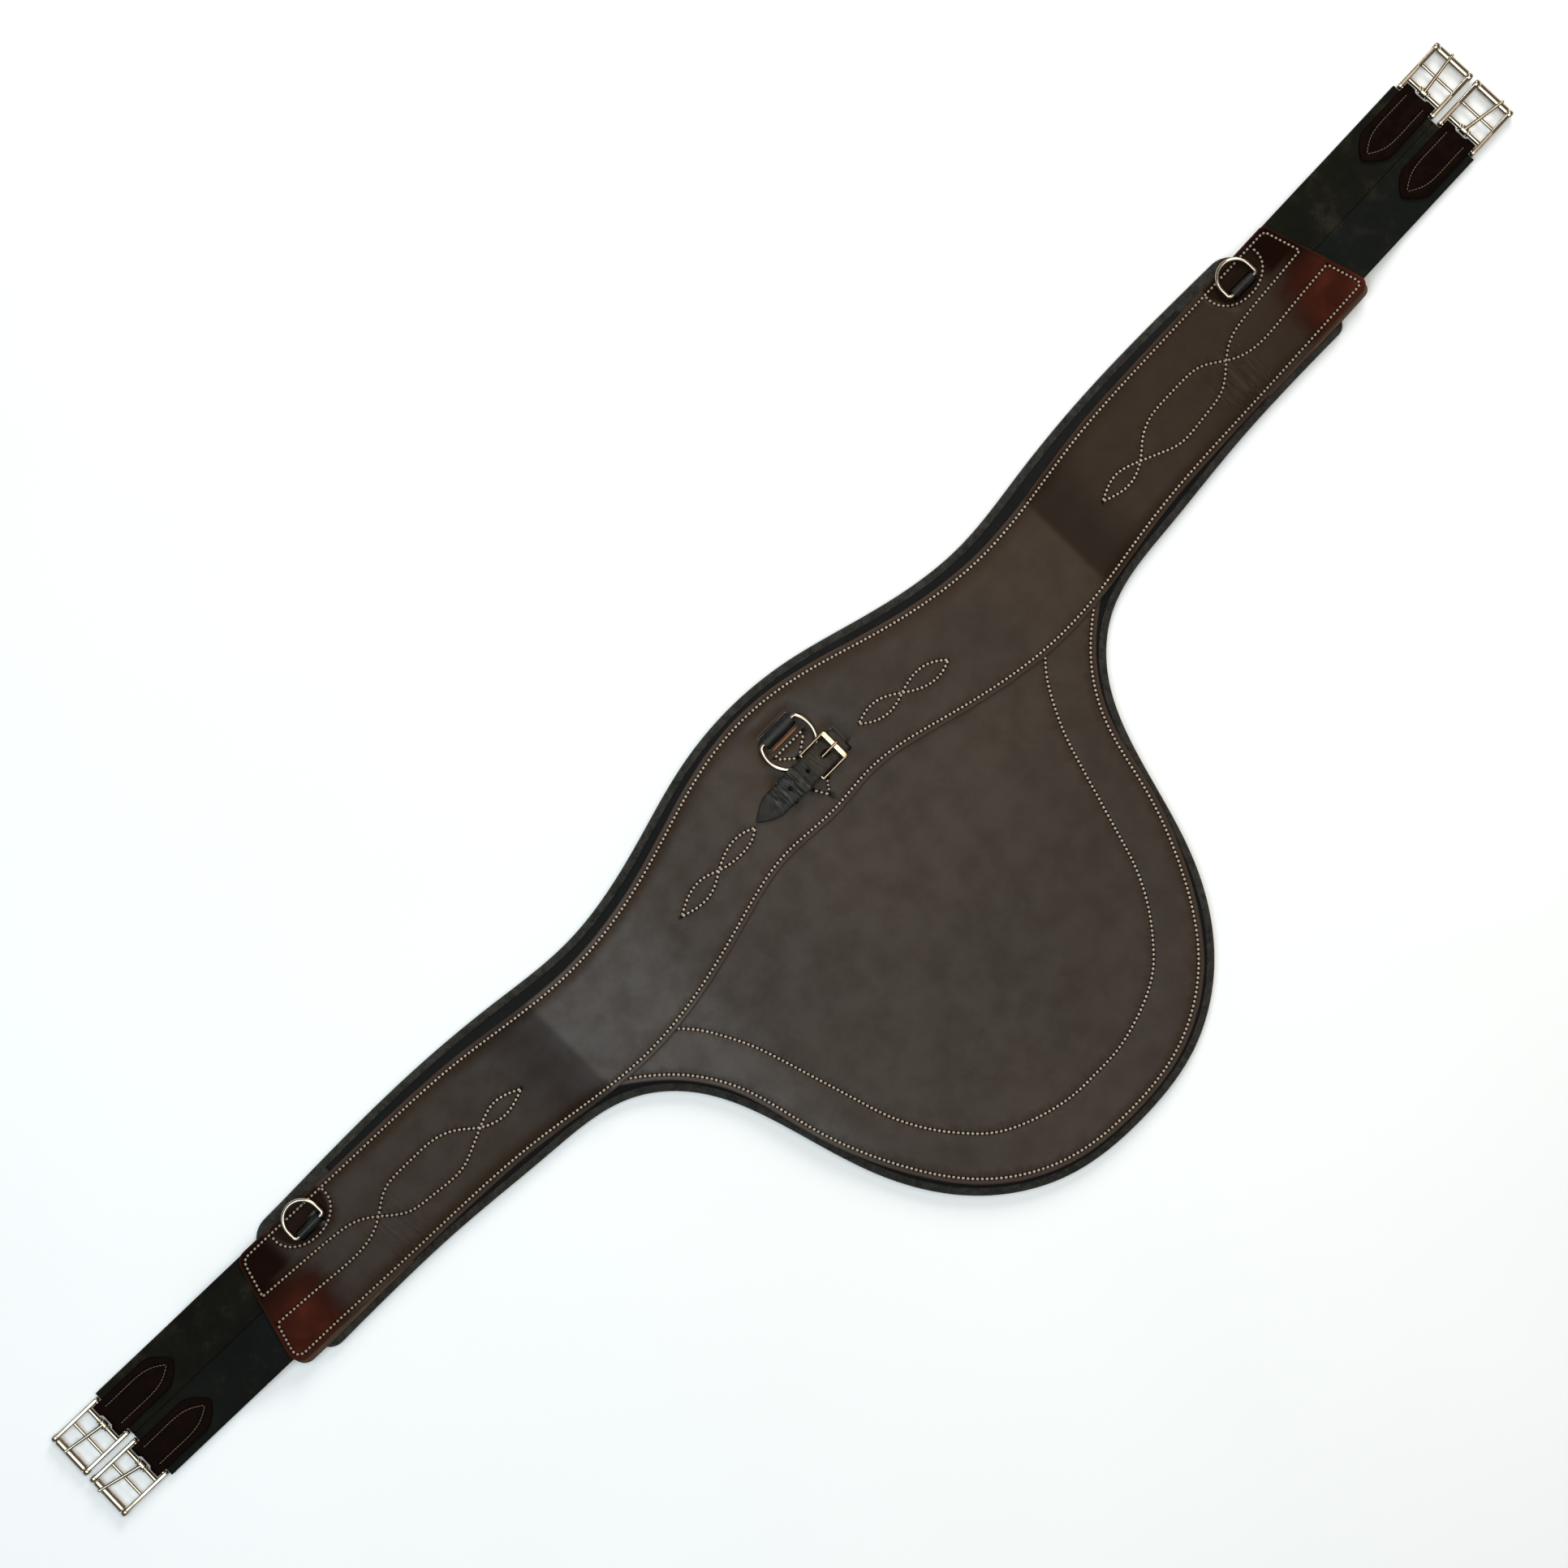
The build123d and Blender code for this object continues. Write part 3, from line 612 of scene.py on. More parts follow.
class Paint:
    """A node material as it is put together."""

    def __init__(self, name, **sockets):
        self.m = bpy.data.materials.new(name)
        self.m.use_nodes = True
        self.tree = self.m.node_tree
        self.shader = self.tree.nodes["Principled BSDF"]
        for key, value in sockets.items():
            self.shader.inputs[key.replace("_", " ")].default_value = value
        self.where = self.add("ShaderNodeTexCoord").outputs["Object"]

    def add(self, kind, inputs=None, **settings):
        node = self.tree.nodes.new(kind)
        for key, value in settings.items():
            setattr(node, key, value)
        for key, value in (inputs or {}).items():
            if isinstance(value, bpy.types.NodeSocket):
                self.tree.links.new(value, node.inputs[key])
            else:
                node.inputs[key].default_value = value
        return node

    def math(self, op, a, b=0.0, c=0.0, clamp=False):
        return self.add("ShaderNodeMath", {0: a, 1: b, 2: c}, operation=op, use_clamp=clamp).outputs[0]

    def times(self, a, b):
        return self.math("MULTIPLY", a, b)

    def span(self, value, low, high, to_low=0.0, to_high=1.0):
        """A smooth step from low to high."""
        node = self.add("ShaderNodeMapRange", {0: value, 1: low, 2: high, 3: to_low, 4: to_high})
        node.interpolation_type = "SMOOTHSTEP"
        return node.outputs[0]

    def axes(self):
        return self.add("ShaderNodeSeparateXYZ", {0: self.where}).outputs

    def stretch(self, scale, turn=0.0):
        inputs = {"Vector": self.where, "Scale": scale, "Rotation": (0, 0, turn)}
        return self.add("ShaderNodeMapping", inputs).outputs[0]

    def noise(self, scale, detail=4.0, rough=0.55, where=None, warp=0.0):
        node = self.add("ShaderNodeTexNoise", {
            "Vector": where or self.where, "Scale": scale, "Detail": detail, "Roughness": rough,
            "Distortion": warp,
        })
        return node.outputs[0]

    def cells(self, scale, feature="F1", where=None):
        inputs = {"Vector": where or self.where, "Scale": scale}
        return self.add("ShaderNodeTexVoronoi", inputs, feature=feature).outputs["Distance"]

    def waves(self, scale, where=None, warp=0.0, detail=2.0, direction="X"):
        inputs = {"Vector": where or self.where, "Scale": scale, "Distortion": warp, "Detail": detail}
        inputs["Detail Scale"] = 1.5
        return self.add("ShaderNodeTexWave", inputs, bands_direction=direction).outputs["Fac"]

    def mark(self, name):
        return self.add("ShaderNodeAttribute", attribute_name=name).outputs["Fac"]

    def mix(self, fac, a, b, mode="MIX"):
        node = self.add("ShaderNodeMix", data_type="RGBA", blend_type=mode)
        for slot, value in ((0, fac), (6, a), (7, b)):
            if isinstance(value, bpy.types.NodeSocket):
                self.tree.links.new(value, node.inputs[slot])
            else:
                node.inputs[slot].default_value = value
        return node.outputs[2]

    def bump(self, height, distance, strength=1.0, under=None):
        inputs = {"Height": height, "Distance": distance, "Strength": strength}
        if under:
            inputs["Normal"] = under
        return self.add("ShaderNodeBump", inputs).outputs[0]

    def ground(self, fac, dark, light):
        """The first two colours."""
        self.base = self.mix(fac, colour(*dark), colour(*light))

    def stain(self, fac, rgb):
        """Another colour over them, as far as fac lets it show."""
        self.base = self.mix(fac, self.base, colour(*rgb))

    def finish(self, rough, normal=None):
        self.tree.links.new(self.base, self.shader.inputs["Base Color"])
        self.tree.links.new(rough, self.shader.inputs["Roughness"])
        if normal:
            self.tree.links.new(normal, self.shader.inputs["Normal"])
        return self.m


def grained(p, pore=0.05, wrinkle=0.10, under=None):
    """The relief of a leather: fine pores over soft wrinkles."""
    pores = p.cells(1500.0)
    normal = p.bump(p.noise(210.0, 5.0, 0.6), wrinkle * MM, 1.0, under)
    return p.bump(pores, pore * MM, 1.0, normal)


def near_line(p, value, at, reach):
    """1 along a line, fading out by its reach on either side (mm)."""
    off = p.math("ABSOLUTE", p.math("SUBTRACT", value, at * MM))
    return p.span(off, reach * MM, reach * 0.6 * MM)


def bridle_leather():
    """The brown leather of strap and guard: darker and redder at the girth's ends, and duller there."""
    p = Paint("bridle_leather")
    x, y, _ = p.axes()
    far = p.math("ABSOLUTE", x)
    patches = p.noise(7.0, 3.0, 0.5)
    mottle = p.noise(55.0, 5.0, 0.6)
    p.ground(p.span(patches, 0.36, 0.64), (54, 40, 28), (47, 34, 23))
    p.stain(p.span(mottle, 0.42, 0.72, 0.0, 0.18), (36, 24, 17))
    wander = p.math("MULTIPLY_ADD", p.noise(38.0, 3.0), 0.034, -0.017)
    upper = p.math("MAXIMUM", p.math("SUBTRACT", y, 0.128), 0.0)
    lean = p.math("ADD", p.math("MULTIPLY_ADD", upper, -0.9, far), wander)
    last = p.span(lean, 0.440, 0.484)
    ring_x = p.math("MULTIPLY_ADD", p.math("SIGN", x), -0.0038, p.math("SUBTRACT", far, 0.4506))
    ring_y = p.math("SUBTRACT", y, 0.166)
    squares = [p.times(off, off) for off in (ring_x, ring_y)]
    from_ring = p.math("SQRT", p.math("ADD", *squares))
    round_ring = p.span(from_ring, 0.0235, 0.0205)
    front = p.times(p.span(y, 0.139, 0.148), p.span(far, 0.460, 0.480))
    last = p.math("MAXIMUM", last, p.math("MAXIMUM", front, p.times(round_ring, 0.75)))
    dye = p.mix(p.span(y, 0.134, 0.148), colour(40, 17, 10), colour(23, 9, 5))
    red = p.times(p.span(p.noise(34.0, 3.0, 0.5), 0.30, 0.66, 0.25, 1.0), p.span(y, 0.140, 0.112))
    red = p.times(red, p.span(far, 0.460, 0.500))
    dye = p.mix(red, dye, colour(82, 36, 25))
    # painted shade: a darker band where the strap steps down past the end of the guard and slopes away from
    # the light, weaker further out; the same mask also dulls the shine there
    stepped = p.math("MULTIPLY_ADD", p.math("SIGN", x), -0.003, far)
    step = p.times(p.span(stepped, 0.2375, 0.2435), p.span(far, 0.262, 0.300, 1.0, 0.35))
    p.stain(p.times(step, 0.9), (36, 25, 18))
    p.base = p.mix(last, p.base, dye)
    p.stain(p.span(y, 0.06, 0.01, 0.0, 0.35), (40, 25, 14))
    wax = p.math("MULTIPLY_ADD", near_line(p, x, -198, 65), 0.13, p.span(x, -0.05, 0.40, 0.22, 0.12))
    wax = p.math("MULTIPLY_ADD", p.span(x, -0.27, -0.32), -0.07, wax)
    wax = p.times(wax, p.span(last, 0.0, 1.0, 1.0, 0.08))
    wax = p.times(wax, p.math("SUBTRACT", 1.0, p.mark("pit"), clamp=True))
    wax = p.times(wax, p.math("MULTIPLY_ADD", step, -0.5, 1.0))
    p.tree.links.new(wax, p.shader.inputs["Specular IOR Level"])
    rim = p.mark("rim")
    # painted shade: a dark line along the groove pressed into the leather parallel to its edge
    groove_shade = p.times(p.span(rim, 0.04, 0.11), p.span(rim, 0.24, 0.15, 0.0, 0.6))
    p.stain(groove_shade, (24, 16, 12))
    worn = p.times(p.span(rim, 0.2, 1.0), p.span(mottle, 0.35, 0.6, 0.4, 0.9))
    p.base = p.mix(worn, p.base, p.mix(last, colour(74, 50, 39), colour(62, 30, 20)))
    lip = p.times(near_line(p, x, 13, 13.2), near_line(p, y, 157.1, 1.5))
    p.stain(lip, (148, 92, 52))
    shade = p.times(near_line(p, x, 13, 13.6), near_line(p, y, 154.9, 1.3))
    p.stain(p.times(shade, 0.6), (34, 22, 16))
    creased = p.times(p.span(far, 0.372, 0.398), p.span(far, 0.436, 0.412))
    creased = p.times(creased, p.span(y, 0.150, 0.112, 0.12, 1.0))
    creased = p.times(creased, p.span(x, -0.3, 0.3, 0.3, 1.0))
    folds = p.noise(1.0, 2.0, 0.5, p.stretch((250.0, 34.0, 250.0), 0.12), 0.9)
    folds = p.math("ABSOLUTE", p.math("MULTIPLY_ADD", folds, 2.0, -1.0))
    # painted shade and painted highlight: dark lines in the crease folds and light lines on their ridges,
    # over their bump
    p.stain(p.times(creased, p.span(folds, 0.09, 0.0, 0.0, 0.5)), (27, 18, 13))
    p.stain(p.times(creased, p.span(folds, 0.22, 0.45, 0.0, 0.3)), (70, 54, 44))
    # painted shade in needle holes, along stitch grooves and round cut slits
    p.stain(p.mark("pit"), (9, 6, 5))
    rough = p.span(mottle, 0.3, 0.75, 0.40, 0.52)
    rough = p.math("MULTIPLY_ADD", last, 0.05, rough)
    normal = p.bump(p.times(folds, creased), 1.3 * MM)
    faint = p.noise(1.0, 3.0, 0.5, p.stretch((260.0, 40.0, 260.0), 0.25), 0.4)
    normal = p.bump(faint, 0.06 * MM, 1.0, normal)
    return p.finish(rough, grained(p, 0.05, 0.07, normal))


def plain_leather(name, dark, light, rough=(0.42, 0.6), pore=0.05, wrinkle=0.15, edge=None, shine=0.05):
    p = Paint(name, Specular_IOR_Level=shine)
    mottle = p.noise(120.0, 5.0, 0.6)
    p.ground(p.span(mottle, 0.35, 0.68), dark, light)
    if edge:
        p.stain(p.times(p.mark("rim"), 0.8), edge)
    # painted shade in needle holes, along stitch grooves and round cut slits
    p.stain(p.mark("pit"), (8, 6, 5))
    return p.finish(p.span(mottle, 0.3, 0.7, *rough), grained(p, pore, wrinkle))


def bent_black():
    """The clip's black billet, greyed and cracked across where it has been bent, with painted shade in the
    cracks.
    """
    p = Paint("billet_leather", Specular_IOR_Level=0.05)
    x, _, _ = p.axes()
    mottle = p.noise(120.0, 5.0, 0.6)
    p.ground(p.span(mottle, 0.35, 0.68), (38, 36, 34), (58, 55, 52))
    p.stain(p.span(x, 0.002, 0.012, 0.0, 0.5), (60, 49, 38))
    cracks = p.noise(1.0, 4.0, 0.6, p.stretch((880.0, 105.0, 105.0)), 0.45)
    bent = p.times(p.span(x, -0.027, -0.021), p.span(x, 0.003, -0.002, 0.35, 1.0))
    pale = p.times(bent, p.span(cracks, 0.46, 0.70, 0.0, 0.8))
    p.stain(pale, (98, 96, 93))
    # painted shade: darker lines in the troughs of the cracks
    deep = p.times(bent, p.span(cracks, 0.46, 0.30, 0.0, 0.65))
    p.stain(deep, (18, 17, 16))
    p.stain(p.times(p.mark("rim"), 0.7), (18, 17, 16))
    # painted shade in the needle holes and round the tongue's slot
    p.stain(p.mark("pit"), (6, 5, 5))
    normal = p.bump(p.times(cracks, bent), 0.5 * MM)
    return p.finish(p.span(mottle, 0.3, 0.7, 0.42, 0.58), grained(p, 0.05, 0.12, normal))


def suede_edge():
    """Undyed leather: tan, with the fibres of a cut edge."""
    p = Paint("tan_leather", Specular_IOR_Level=0.3)
    fibres = p.noise(1.0, 5.0, 0.65, p.stretch((60.0, 1100.0, 1600.0)))
    p.ground(p.span(fibres, 0.34, 0.68), (56, 38, 26), (98, 74, 53))
    p.stain(p.span(p.noise(60.0), 0.45, 0.7, 0.0, 0.6), (70, 46, 30))
    return p.finish(p.span(fibres, 0.3, 0.7, 0.62, 0.85), p.bump(fibres, 0.2 * MM))


def felt():
    p = Paint("felt", Specular_IOR_Level=0.1, Sheen_Weight=0.2, Sheen_Roughness=0.5)
    p.shader.inputs["Sheen Tint"].default_value = colour(130, 130, 115)
    fleck = p.noise(1300.0, 3.0, 0.7)
    clump = p.noise(160.0, 6.0, 0.65, warp=0.8)
    p.ground(p.span(clump, 0.3, 0.7), (31, 30, 27), (56, 54, 51))
    p.stain(p.span(fleck, 0.58, 0.78, 0.0, 0.75), (104, 101, 95))
    normal = p.bump(clump, 0.7 * MM)
    return p.finish(p.span(fleck, 0.3, 0.7, 0.88, 0.98), p.bump(fleck, 0.25 * MM, 1.0, normal))


# painted shade: the backing is kept near black so that its band between the felt rim and the leather also
# stands in for the shadow there
def black_sheet():
    p = Paint("black_sheet", Specular_IOR_Level=0.15)
    knit = p.times(p.waves(330.0, warp=0.6), p.waves(330.0, warp=0.6, direction="Y"))
    soil = p.noise(70.0, 4.0)
    p.ground(p.span(soil, 0.35, 0.7), (5, 5, 5), (13, 13, 12))
    return p.finish(p.span(soil, 0.3, 0.7, 0.55, 0.75), p.bump(knit, 0.12 * MM))


def webbing(name, dark, light, turn=0.0):
    """Woven band: ribs along it with picks across them."""
    p = Paint(name, Specular_IOR_Level=0.04)
    lie = p.stretch((1, 1, 1), turn)
    picks = p.waves(390.0, lie, 0.5, direction="X")
    ribs = p.waves(165.0, lie, 0.3, direction="Y")
    fuzz = p.noise(900.0, 3.0, 0.7)
    weave = p.math("ADD", p.times(ribs, 0.5), p.times(picks, 0.5))
    patch = p.noise(48.0, 5.0, 0.65)
    p.ground(p.span(weave, -0.3, 1.3), dark, light)
    p.stain(p.span(patch, 0.42, 0.68, 0.0, 0.55), dark)
    p.stain(p.span(patch, 0.47, 0.3, 0.0, 0.6), (44, 41, 31))
    _, y, _ = p.axes()
    p.stain(p.span(y, 0.139, 0.131, 0.0, 0.35), (19, 25, 27))
    p.stain(p.span(fuzz, 0.55, 0.8, 0.0, 0.3), (46, 45, 36))
    normal = p.bump(weave, 0.13 * MM)
    return p.finish(p.span(fuzz, 0.3, 0.7, 0.72, 0.9), p.bump(fuzz, 0.08 * MM, 1.0, normal))


def sewing_thread(name, dark, light, strand_shade_colour):
    p = Paint(name, Specular_IOR_Level=0.3, Sheen_Weight=0.2)
    shade = p.noise(420.0, 3.0)
    lay = p.waves(520.0, p.stretch((1, 1, 1), 0.7), 1.5)
    p.ground(p.span(shade, 0.3, 0.7), dark, light)
    # painted shade: darker in the grooves between the twisted strands
    p.stain(p.span(lay, 0.1, 0.6, 0.4, 0.0), strand_shade_colour)
    far = p.math("ABSOLUTE", p.axes()[0])
    p.stain(p.span(far, 0.28, 0.42, 0.0, 0.5), [c - 50 for c in dark])
    return p.finish(p.span(shade, 0.3, 0.7, 0.55, 0.75), p.bump(lay, 0.10 * MM))


def stainless():
    p = Paint("stainless", Metallic=1.0, Anisotropic=0.15)
    smear = p.noise(90.0, 4.0)
    scratches = p.noise(1.0, 3.0, 0.6, p.stretch((300.0, 2400.0, 2400.0)))
    p.ground(p.span(smear, 0.35, 0.7), (182, 170, 153), (150, 137, 118))
    normal = p.bump(scratches, 0.008 * MM)
    return p.finish(p.span(smear, 0.3, 0.75, 0.12, 0.26), normal)


def soft_filler(name, dark, light):
    p = Paint(name, Specular_IOR_Level=0.2)
    cells = p.cells(700.0)
    p.ground(p.span(cells, 0.1, 0.6), dark, light)
    return p.finish(p.span(cells, 0.1, 0.7, 0.8, 0.95), p.bump(cells, 0.2 * MM))


LEATHER = bridle_leather()
CHAPE_LEATHER = plain_leather(
    "chape_leather", (12, 4, 2), (22, 9, 5), (0.5, 0.64), 0.05, 0.08, (10, 5, 3), 0.02,
)
BLACK_LEATHER = plain_leather(
    "black_leather", (30, 28, 26), (49, 47, 44), (0.42, 0.56), 0.05, 0.15, (14, 13, 12), 0.06,
)
BILLET_LEATHER = bent_black()
LOOP_LEATHER = plain_leather(
    "loop_leather", (15, 14, 14), (29, 28, 27), (0.36, 0.48), 0.05, 0.12, (9, 8, 8), 0.28,
)
TAN = suede_edge()
FELT = felt()
SHEET = black_sheet()
ELASTIC = {side: webbing("olive_elastic_" + end, (12, 12, 9), (30, 29, 22), -side * radians(END_TILT))
           for side, end in ((1, "right"), (-1, "left"))}
WEB = webbing("nylon_web", (22, 22, 22), (44, 44, 42))
THREAD = sewing_thread("sewing_thread", (182, 160, 138), (218, 200, 180), (134, 108, 82))
CHAPE_THREAD = sewing_thread("chape_thread", (112, 94, 74), (158, 140, 116), (70, 52, 38))
STEEL = stainless()
FOAM = soft_filler("filler_foam", (86, 84, 76), (120, 117, 108))


def done(o, material, node=None, body="root"):
    """Give a piece its material in one slot, let it ride on its body, and hide the CAD node that it stands
    for.
    """
    o.data.materials.clear()
    o.data.materials.append(material)
    if body:
        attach(o, body)
    if node:
        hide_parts(node)
    return o


# ---- Surfaces ----
def ripple(uv, size, depth, seed=0.0):
    """Slow waviness of a hand-worked sheet."""
    return depth * np.array([noise.noise((x / size, y / size, seed)) for x, y in uv])


def sag(x):
    """The strap steps down past the end of the guard that lies beneath it."""
    far = np.abs(x)
    return -1.25 * smooth((far - 237) / 24) * (1 - 0.55 * smooth((far - 275) / 70))


def strap_height(uv, d):
    """Full over the foam, and drawn down to the pad along its free edges."""
    x, y = uv.T
    far = np.abs(x)
    wings = 1 - smooth((far - 436) / 34)
    front = y > 126 - 6 * smooth((far - 60) / 150)
    drop = np.where(front, 2.5 * wings, 0.35 + 2.2 * smooth((far - 236) / 26) * wings)
    shoulder = 1 - smooth(d / 13)
    waves = ripple(uv, 46, 0.55, 3.0) * smooth((d - 2) / 10) + ripple(uv, 17, 0.14, 8.0)
    return sag(x) - drop * shoulder + waves - 0.1 - 0.16 * np.exp(-((d - 1.87) / 0.3) ** 2)


def guard_height(uv, d):
    slow = ripple(uv, 70, 0.5, 5.0) * smooth((d - 2) / 20) + ripple(uv, 22, 0.10, 2.0)
    return slow - 0.1 - 0.5 * (1 - smooth(d / 6)) - 0.16 * np.exp(-((d - 1.87) / 0.3) ** 2)


def pad_height(uv, d):
    ragged = ripple(uv, 3.1, 0.35, 4.0) * (1 - smooth(d / 5))
    return -0.35 + ragged - 0.3 * smooth(d / 14)


# ---- Pad and backing ----
pad_loop = band(PAD_FRONT, PAD_REAR, PAD_ENDS, 1.8)
pad = Panel([pad_loop], PAD_T + 0.25, PAD_T - 0.1, grid=7.0, edge=3.4, height=pad_height)
felt_pad = done(pad.build("felt_pad_soft"), FELT, "felt_pad")

front = moved(profile(PAD_FRONT), -BACKING_INSET)
rear = moved(profile(PAD_REAR), BACKING_INSET)
cut_front, cut_rear = (line[np.abs(line[:, 0]) <= BACKING_HALF] for line in (front, rear))
# the band this sheet shows beside the leather is partly a black layer and partly painted shade, its black
# standing in for the shadow under the leather's edge
backing = Panel(
    [between(cut_front, cut_rear)], Z_CORE - 0.05, 1.9, grid=9.0, edge=0.9,
    height=lambda uv, d: -1.1 * (1 - smooth(d / 5)) + ripple(uv, 14, 0.10, 6.0),
)
done(backing.build("backing_sheet"), SHEET, "black_backing")

# ---- Strap leather and its stitching ----
strap_loop = band(STRAP_FRONT, STRAP_REAR, STRAP_ENDS, 2.0)
branch_y = (141.8, 121.8)       # where the wing's two stitched branches reach the end's edge

WING_A = [
    (281.3, 116.6), (300.5, 123.1), (319, 117.8), (331, 112.6), (346, 107.0), (361, 106.9), (376, 108.6),
    (393, 112.0), (409.7, 124.4), (423, 132.8), (438, 136.2), (453, 137.8), (478, 139.8),
    (499.5, branch_y[0]),
]
WING_B = [
    (281.3, 116.6), (301.5, 111.7), (319, 117.8), (332, 128.2), (346, 134.2), (362, 135.6), (380, 135.9),
    (393, 134.4), (409.7, 124.4), (420, 119.2), (438, 116.5), (453, 117.3), (478, 119.6),
    (505.5, branch_y[1]),
]
EIGHT_RIGHT = [
    [(55.5, 128), (63, 130.3), (75, 130.6), (91.5, 122), (105, 114.2), (120, 112.4), (129.6, 115.5)],
    [(55.5, 128), (65, 121.5), (78, 118.8), (91.5, 122), (108, 125.3), (121, 122), (129.6, 115.5)],
]
EIGHT_LEFT = [
    [(-44.3, 128.4), (-52, 131.6), (-62, 132.5), (-82, 125.4), (-92, 119.8), (-103, 117.4), (-122, 121.4)],
    [(-44.3, 128.4), (-52, 123.9), (-62, 122.3), (-82, 125.4), (-91, 128.8), (-101, 129.6), (-122, 121.4)],
]
RING_ROW = [
    (-23, 165.8), (-23.3, 160), (-21.5, 155), (-16, 149.3), (-8.5, 145.6), (0, 144.4),
    (8.5, 145.6), (16, 149.3), (21.5, 155), (23.3, 160), (23, 165.8),
]
CLIP_ROWS = [                   # straight rows above and below the clip
    [(-1.2, 152.3), (25.2, 152.3)], [(-0.4, 150.0), (9.0, 141.6)], [(24.0, 150.0), (12.5, 141.6)],
    [(2, 118), (7.5, 108.5)], [(8.9, 110.2), (14, 117)],
]
INNER_GUARD = [
    (0, -153.5), (20, -153), (40, -149), (60, -142), (80, -130), (90, -120), (100, -108), (110, -93),
    (120, -72), (127, -50), (133, -30), (142, 0), (150, 24), (160, 45), (170, 61), (178.5, 70.5),
]


def strap_rows():
    ring = even(inset(strap_loop, SEW_IN), 1.0, closed=True)
    x, y = ring.T
    gap = (np.abs(x) > 480) & (y < branch_y[0]) & (y > branch_y[1])
    start = int(np.argmax(gap))
    ring, gap = np.roll(ring, -start, 0), np.roll(gap, -start)
    breaks = np.flatnonzero(np.diff(gap.astype(int)))
    runs = zip(np.split(ring, breaks + 1), np.split(gap, breaks + 1))
    lines = [run for run, closed in runs if not closed[0] and len(run) > 20]
    for side in (1, -1):
        for wing, more in ((WING_A, 3.5), (WING_B, 2.8)):
            x, y = wing[-1]
            row = wing[:-1] + [(x + (more if side < 0 else 0), y)]
            lines.append(spline([(side * u, v) for u, v in row]))
        lines.append(spline([(side * RING_X[side] + x, y) for x, y in RING_ROW]))
    lines += [spline(row) for row in EIGHT_RIGHT + EIGHT_LEFT]
    return stitched(lines + [np.array(ends) for ends in CLIP_ROWS])


def loop_slits(x, half, y, inner):
    reach = inner + LOOP_T / 2
    gap = LOOP_T / 2 + 0.05
    return [rectangle(x - half, x + half, y + s * reach - gap, y + s * reach + gap, 1.5) for s in (-1, 1)]


slits = []
for side in (-1, 1):
    slits += loop_slits(side * RING_X[side], LOOP_HALF + 0.2, RING_BAR_Y, LOOP_IN)
slits += loop_slits(CENTRE_X, CENTRE_LOOP_HALF + 0.2, CENTRE_BAR_Y, CENTRE_LOOP_IN)
for x in (BILLET_SLIT_X, CHAPE_SLIT_X):
    half = BILLET_T / 2 + 0.05
    slits.append(rectangle(x - half, x + half, CLIP_Y - BILLET_HALF - 0.2, CLIP_Y + BILLET_HALF + 0.2, 1.5))

strap = Panel([strap_loop] + slits, Z_TOP, STRAP_T, strap_rows(), grid=4.5, edge=0.85, height=strap_height)
done(strap.build("strap_panel"), LEATHER, "strap_leather")
done(thread("stitching_strap", strap), THREAD)

# ---- Belly guard ----
guard_low = profile(GUARD_REAR)
guard_low = guard_low[np.abs(guard_low[:, 0]) <= GUARD_HALF]
tucked = moved(profile(STRAP_REAR), GUARD_TUCK)
tucked = tucked[np.abs(tucked[:, 0]) <= GUARD_HALF]
strap_edge = profile(STRAP_REAR)


def shown(line):
    """The part of a line that isn't under the strap."""
    return line[line[:, 1] < np.interp(line[:, 0], *strap_edge.T) + 1.5]


guard_rows = stitched([shown(moved(profile(GUARD_REAR), SEW_IN)), shown(profile(INNER_GUARD))])
guard = Panel(
    [between(tucked, guard_low)], Z_GUARD, GUARD_T, guard_rows, grid=5.0, edge=0.85, height=guard_height,
)
done(guard.build("guard_panel"), LEATHER, "guard_leather")
done(thread("stitching_guard", guard), THREAD)

# ---- Inside the strap: foam, web and the end plies ----
foam_front = profile(shifted(STRAP_FRONT, -6.5, 400) + [(FOAM_HALF, 163)])
foam_rear = profile(shifted(STRAP_REAR, GUARD_TUCK + 1.5, 400) + [(FOAM_HALF, 101)])
foam = Panel(
    [between(foam_front, foam_rear, 4)], 13.9, 1.2, grid=9.0, edge=0.5,
    height=lambda uv, d: sag(uv[:, 0]) - 1.0 * (1 - smooth(d / 9)),
)
foam_layer = done(foam.build("foam_layer"), FOAM, "strap_foam")

web_place, web_length = on_path([(-474, 11.7), (474, 11.7)], shift=131)
web = strip("core_band", web_length, 18.9, 1.2, 6.0, 27, lambda u, v: 0.06 * np.cos(v * 2.4), web_place)
done(web, WEB, "core_web")

ply_ends = {
    side: (top, (bottom[0] - 1, bottom[1] - PLY_DROP), r_top, r_bottom)
    for side, (top, bottom, r_top, r_bottom) in STRAP_ENDS.items()
}
for side, end in ((1, "right"), (-1, "left")):
    ply_loop = band(STRAP_FRONT, shifted(STRAP_REAR, -PLY_DROP), ply_ends, 1.0) * (side, 1)
    ply_loop = ply_loop[ply_loop[:, 0] >= PLY_START]
    first = int(np.argmax(np.linalg.norm(np.diff(ply_loop, axis=0), axis=1))) + 1
    ply_loop = even(np.roll(ply_loop, -first, 0), 2.0, closed=True)
    tuck = 0.72 - 0.57 * smooth((ply_loop[:, 0] - PLY_START) / 85)
    ply_loop[:, 1] += PLY_DROP * tuck * smooth((100 - ply_loop[:, 1]) / 8)
    ply_loop = ply_loop * (side, 1)
    ply = Panel([ply_loop], 11.0, 1.9, grid=5.0, edge=0.7, height=lambda uv, d: ripple(uv, 20, 0.15, 1.0))
    done(ply.build("end_ply_soft_" + end), TAN, "end_ply_" + end)
    low, high = (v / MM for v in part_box("ring_patch_" + end))
    patch = Panel(
        [rectangle(low.x, high.x, low.y, high.y, 2, 1.5)], high.z, high.z - low.z, grid=4, edge=0.4,
    )
    done(patch.build("ring_stay_" + end), CHAPE_LEATHER, "ring_patch_" + end)


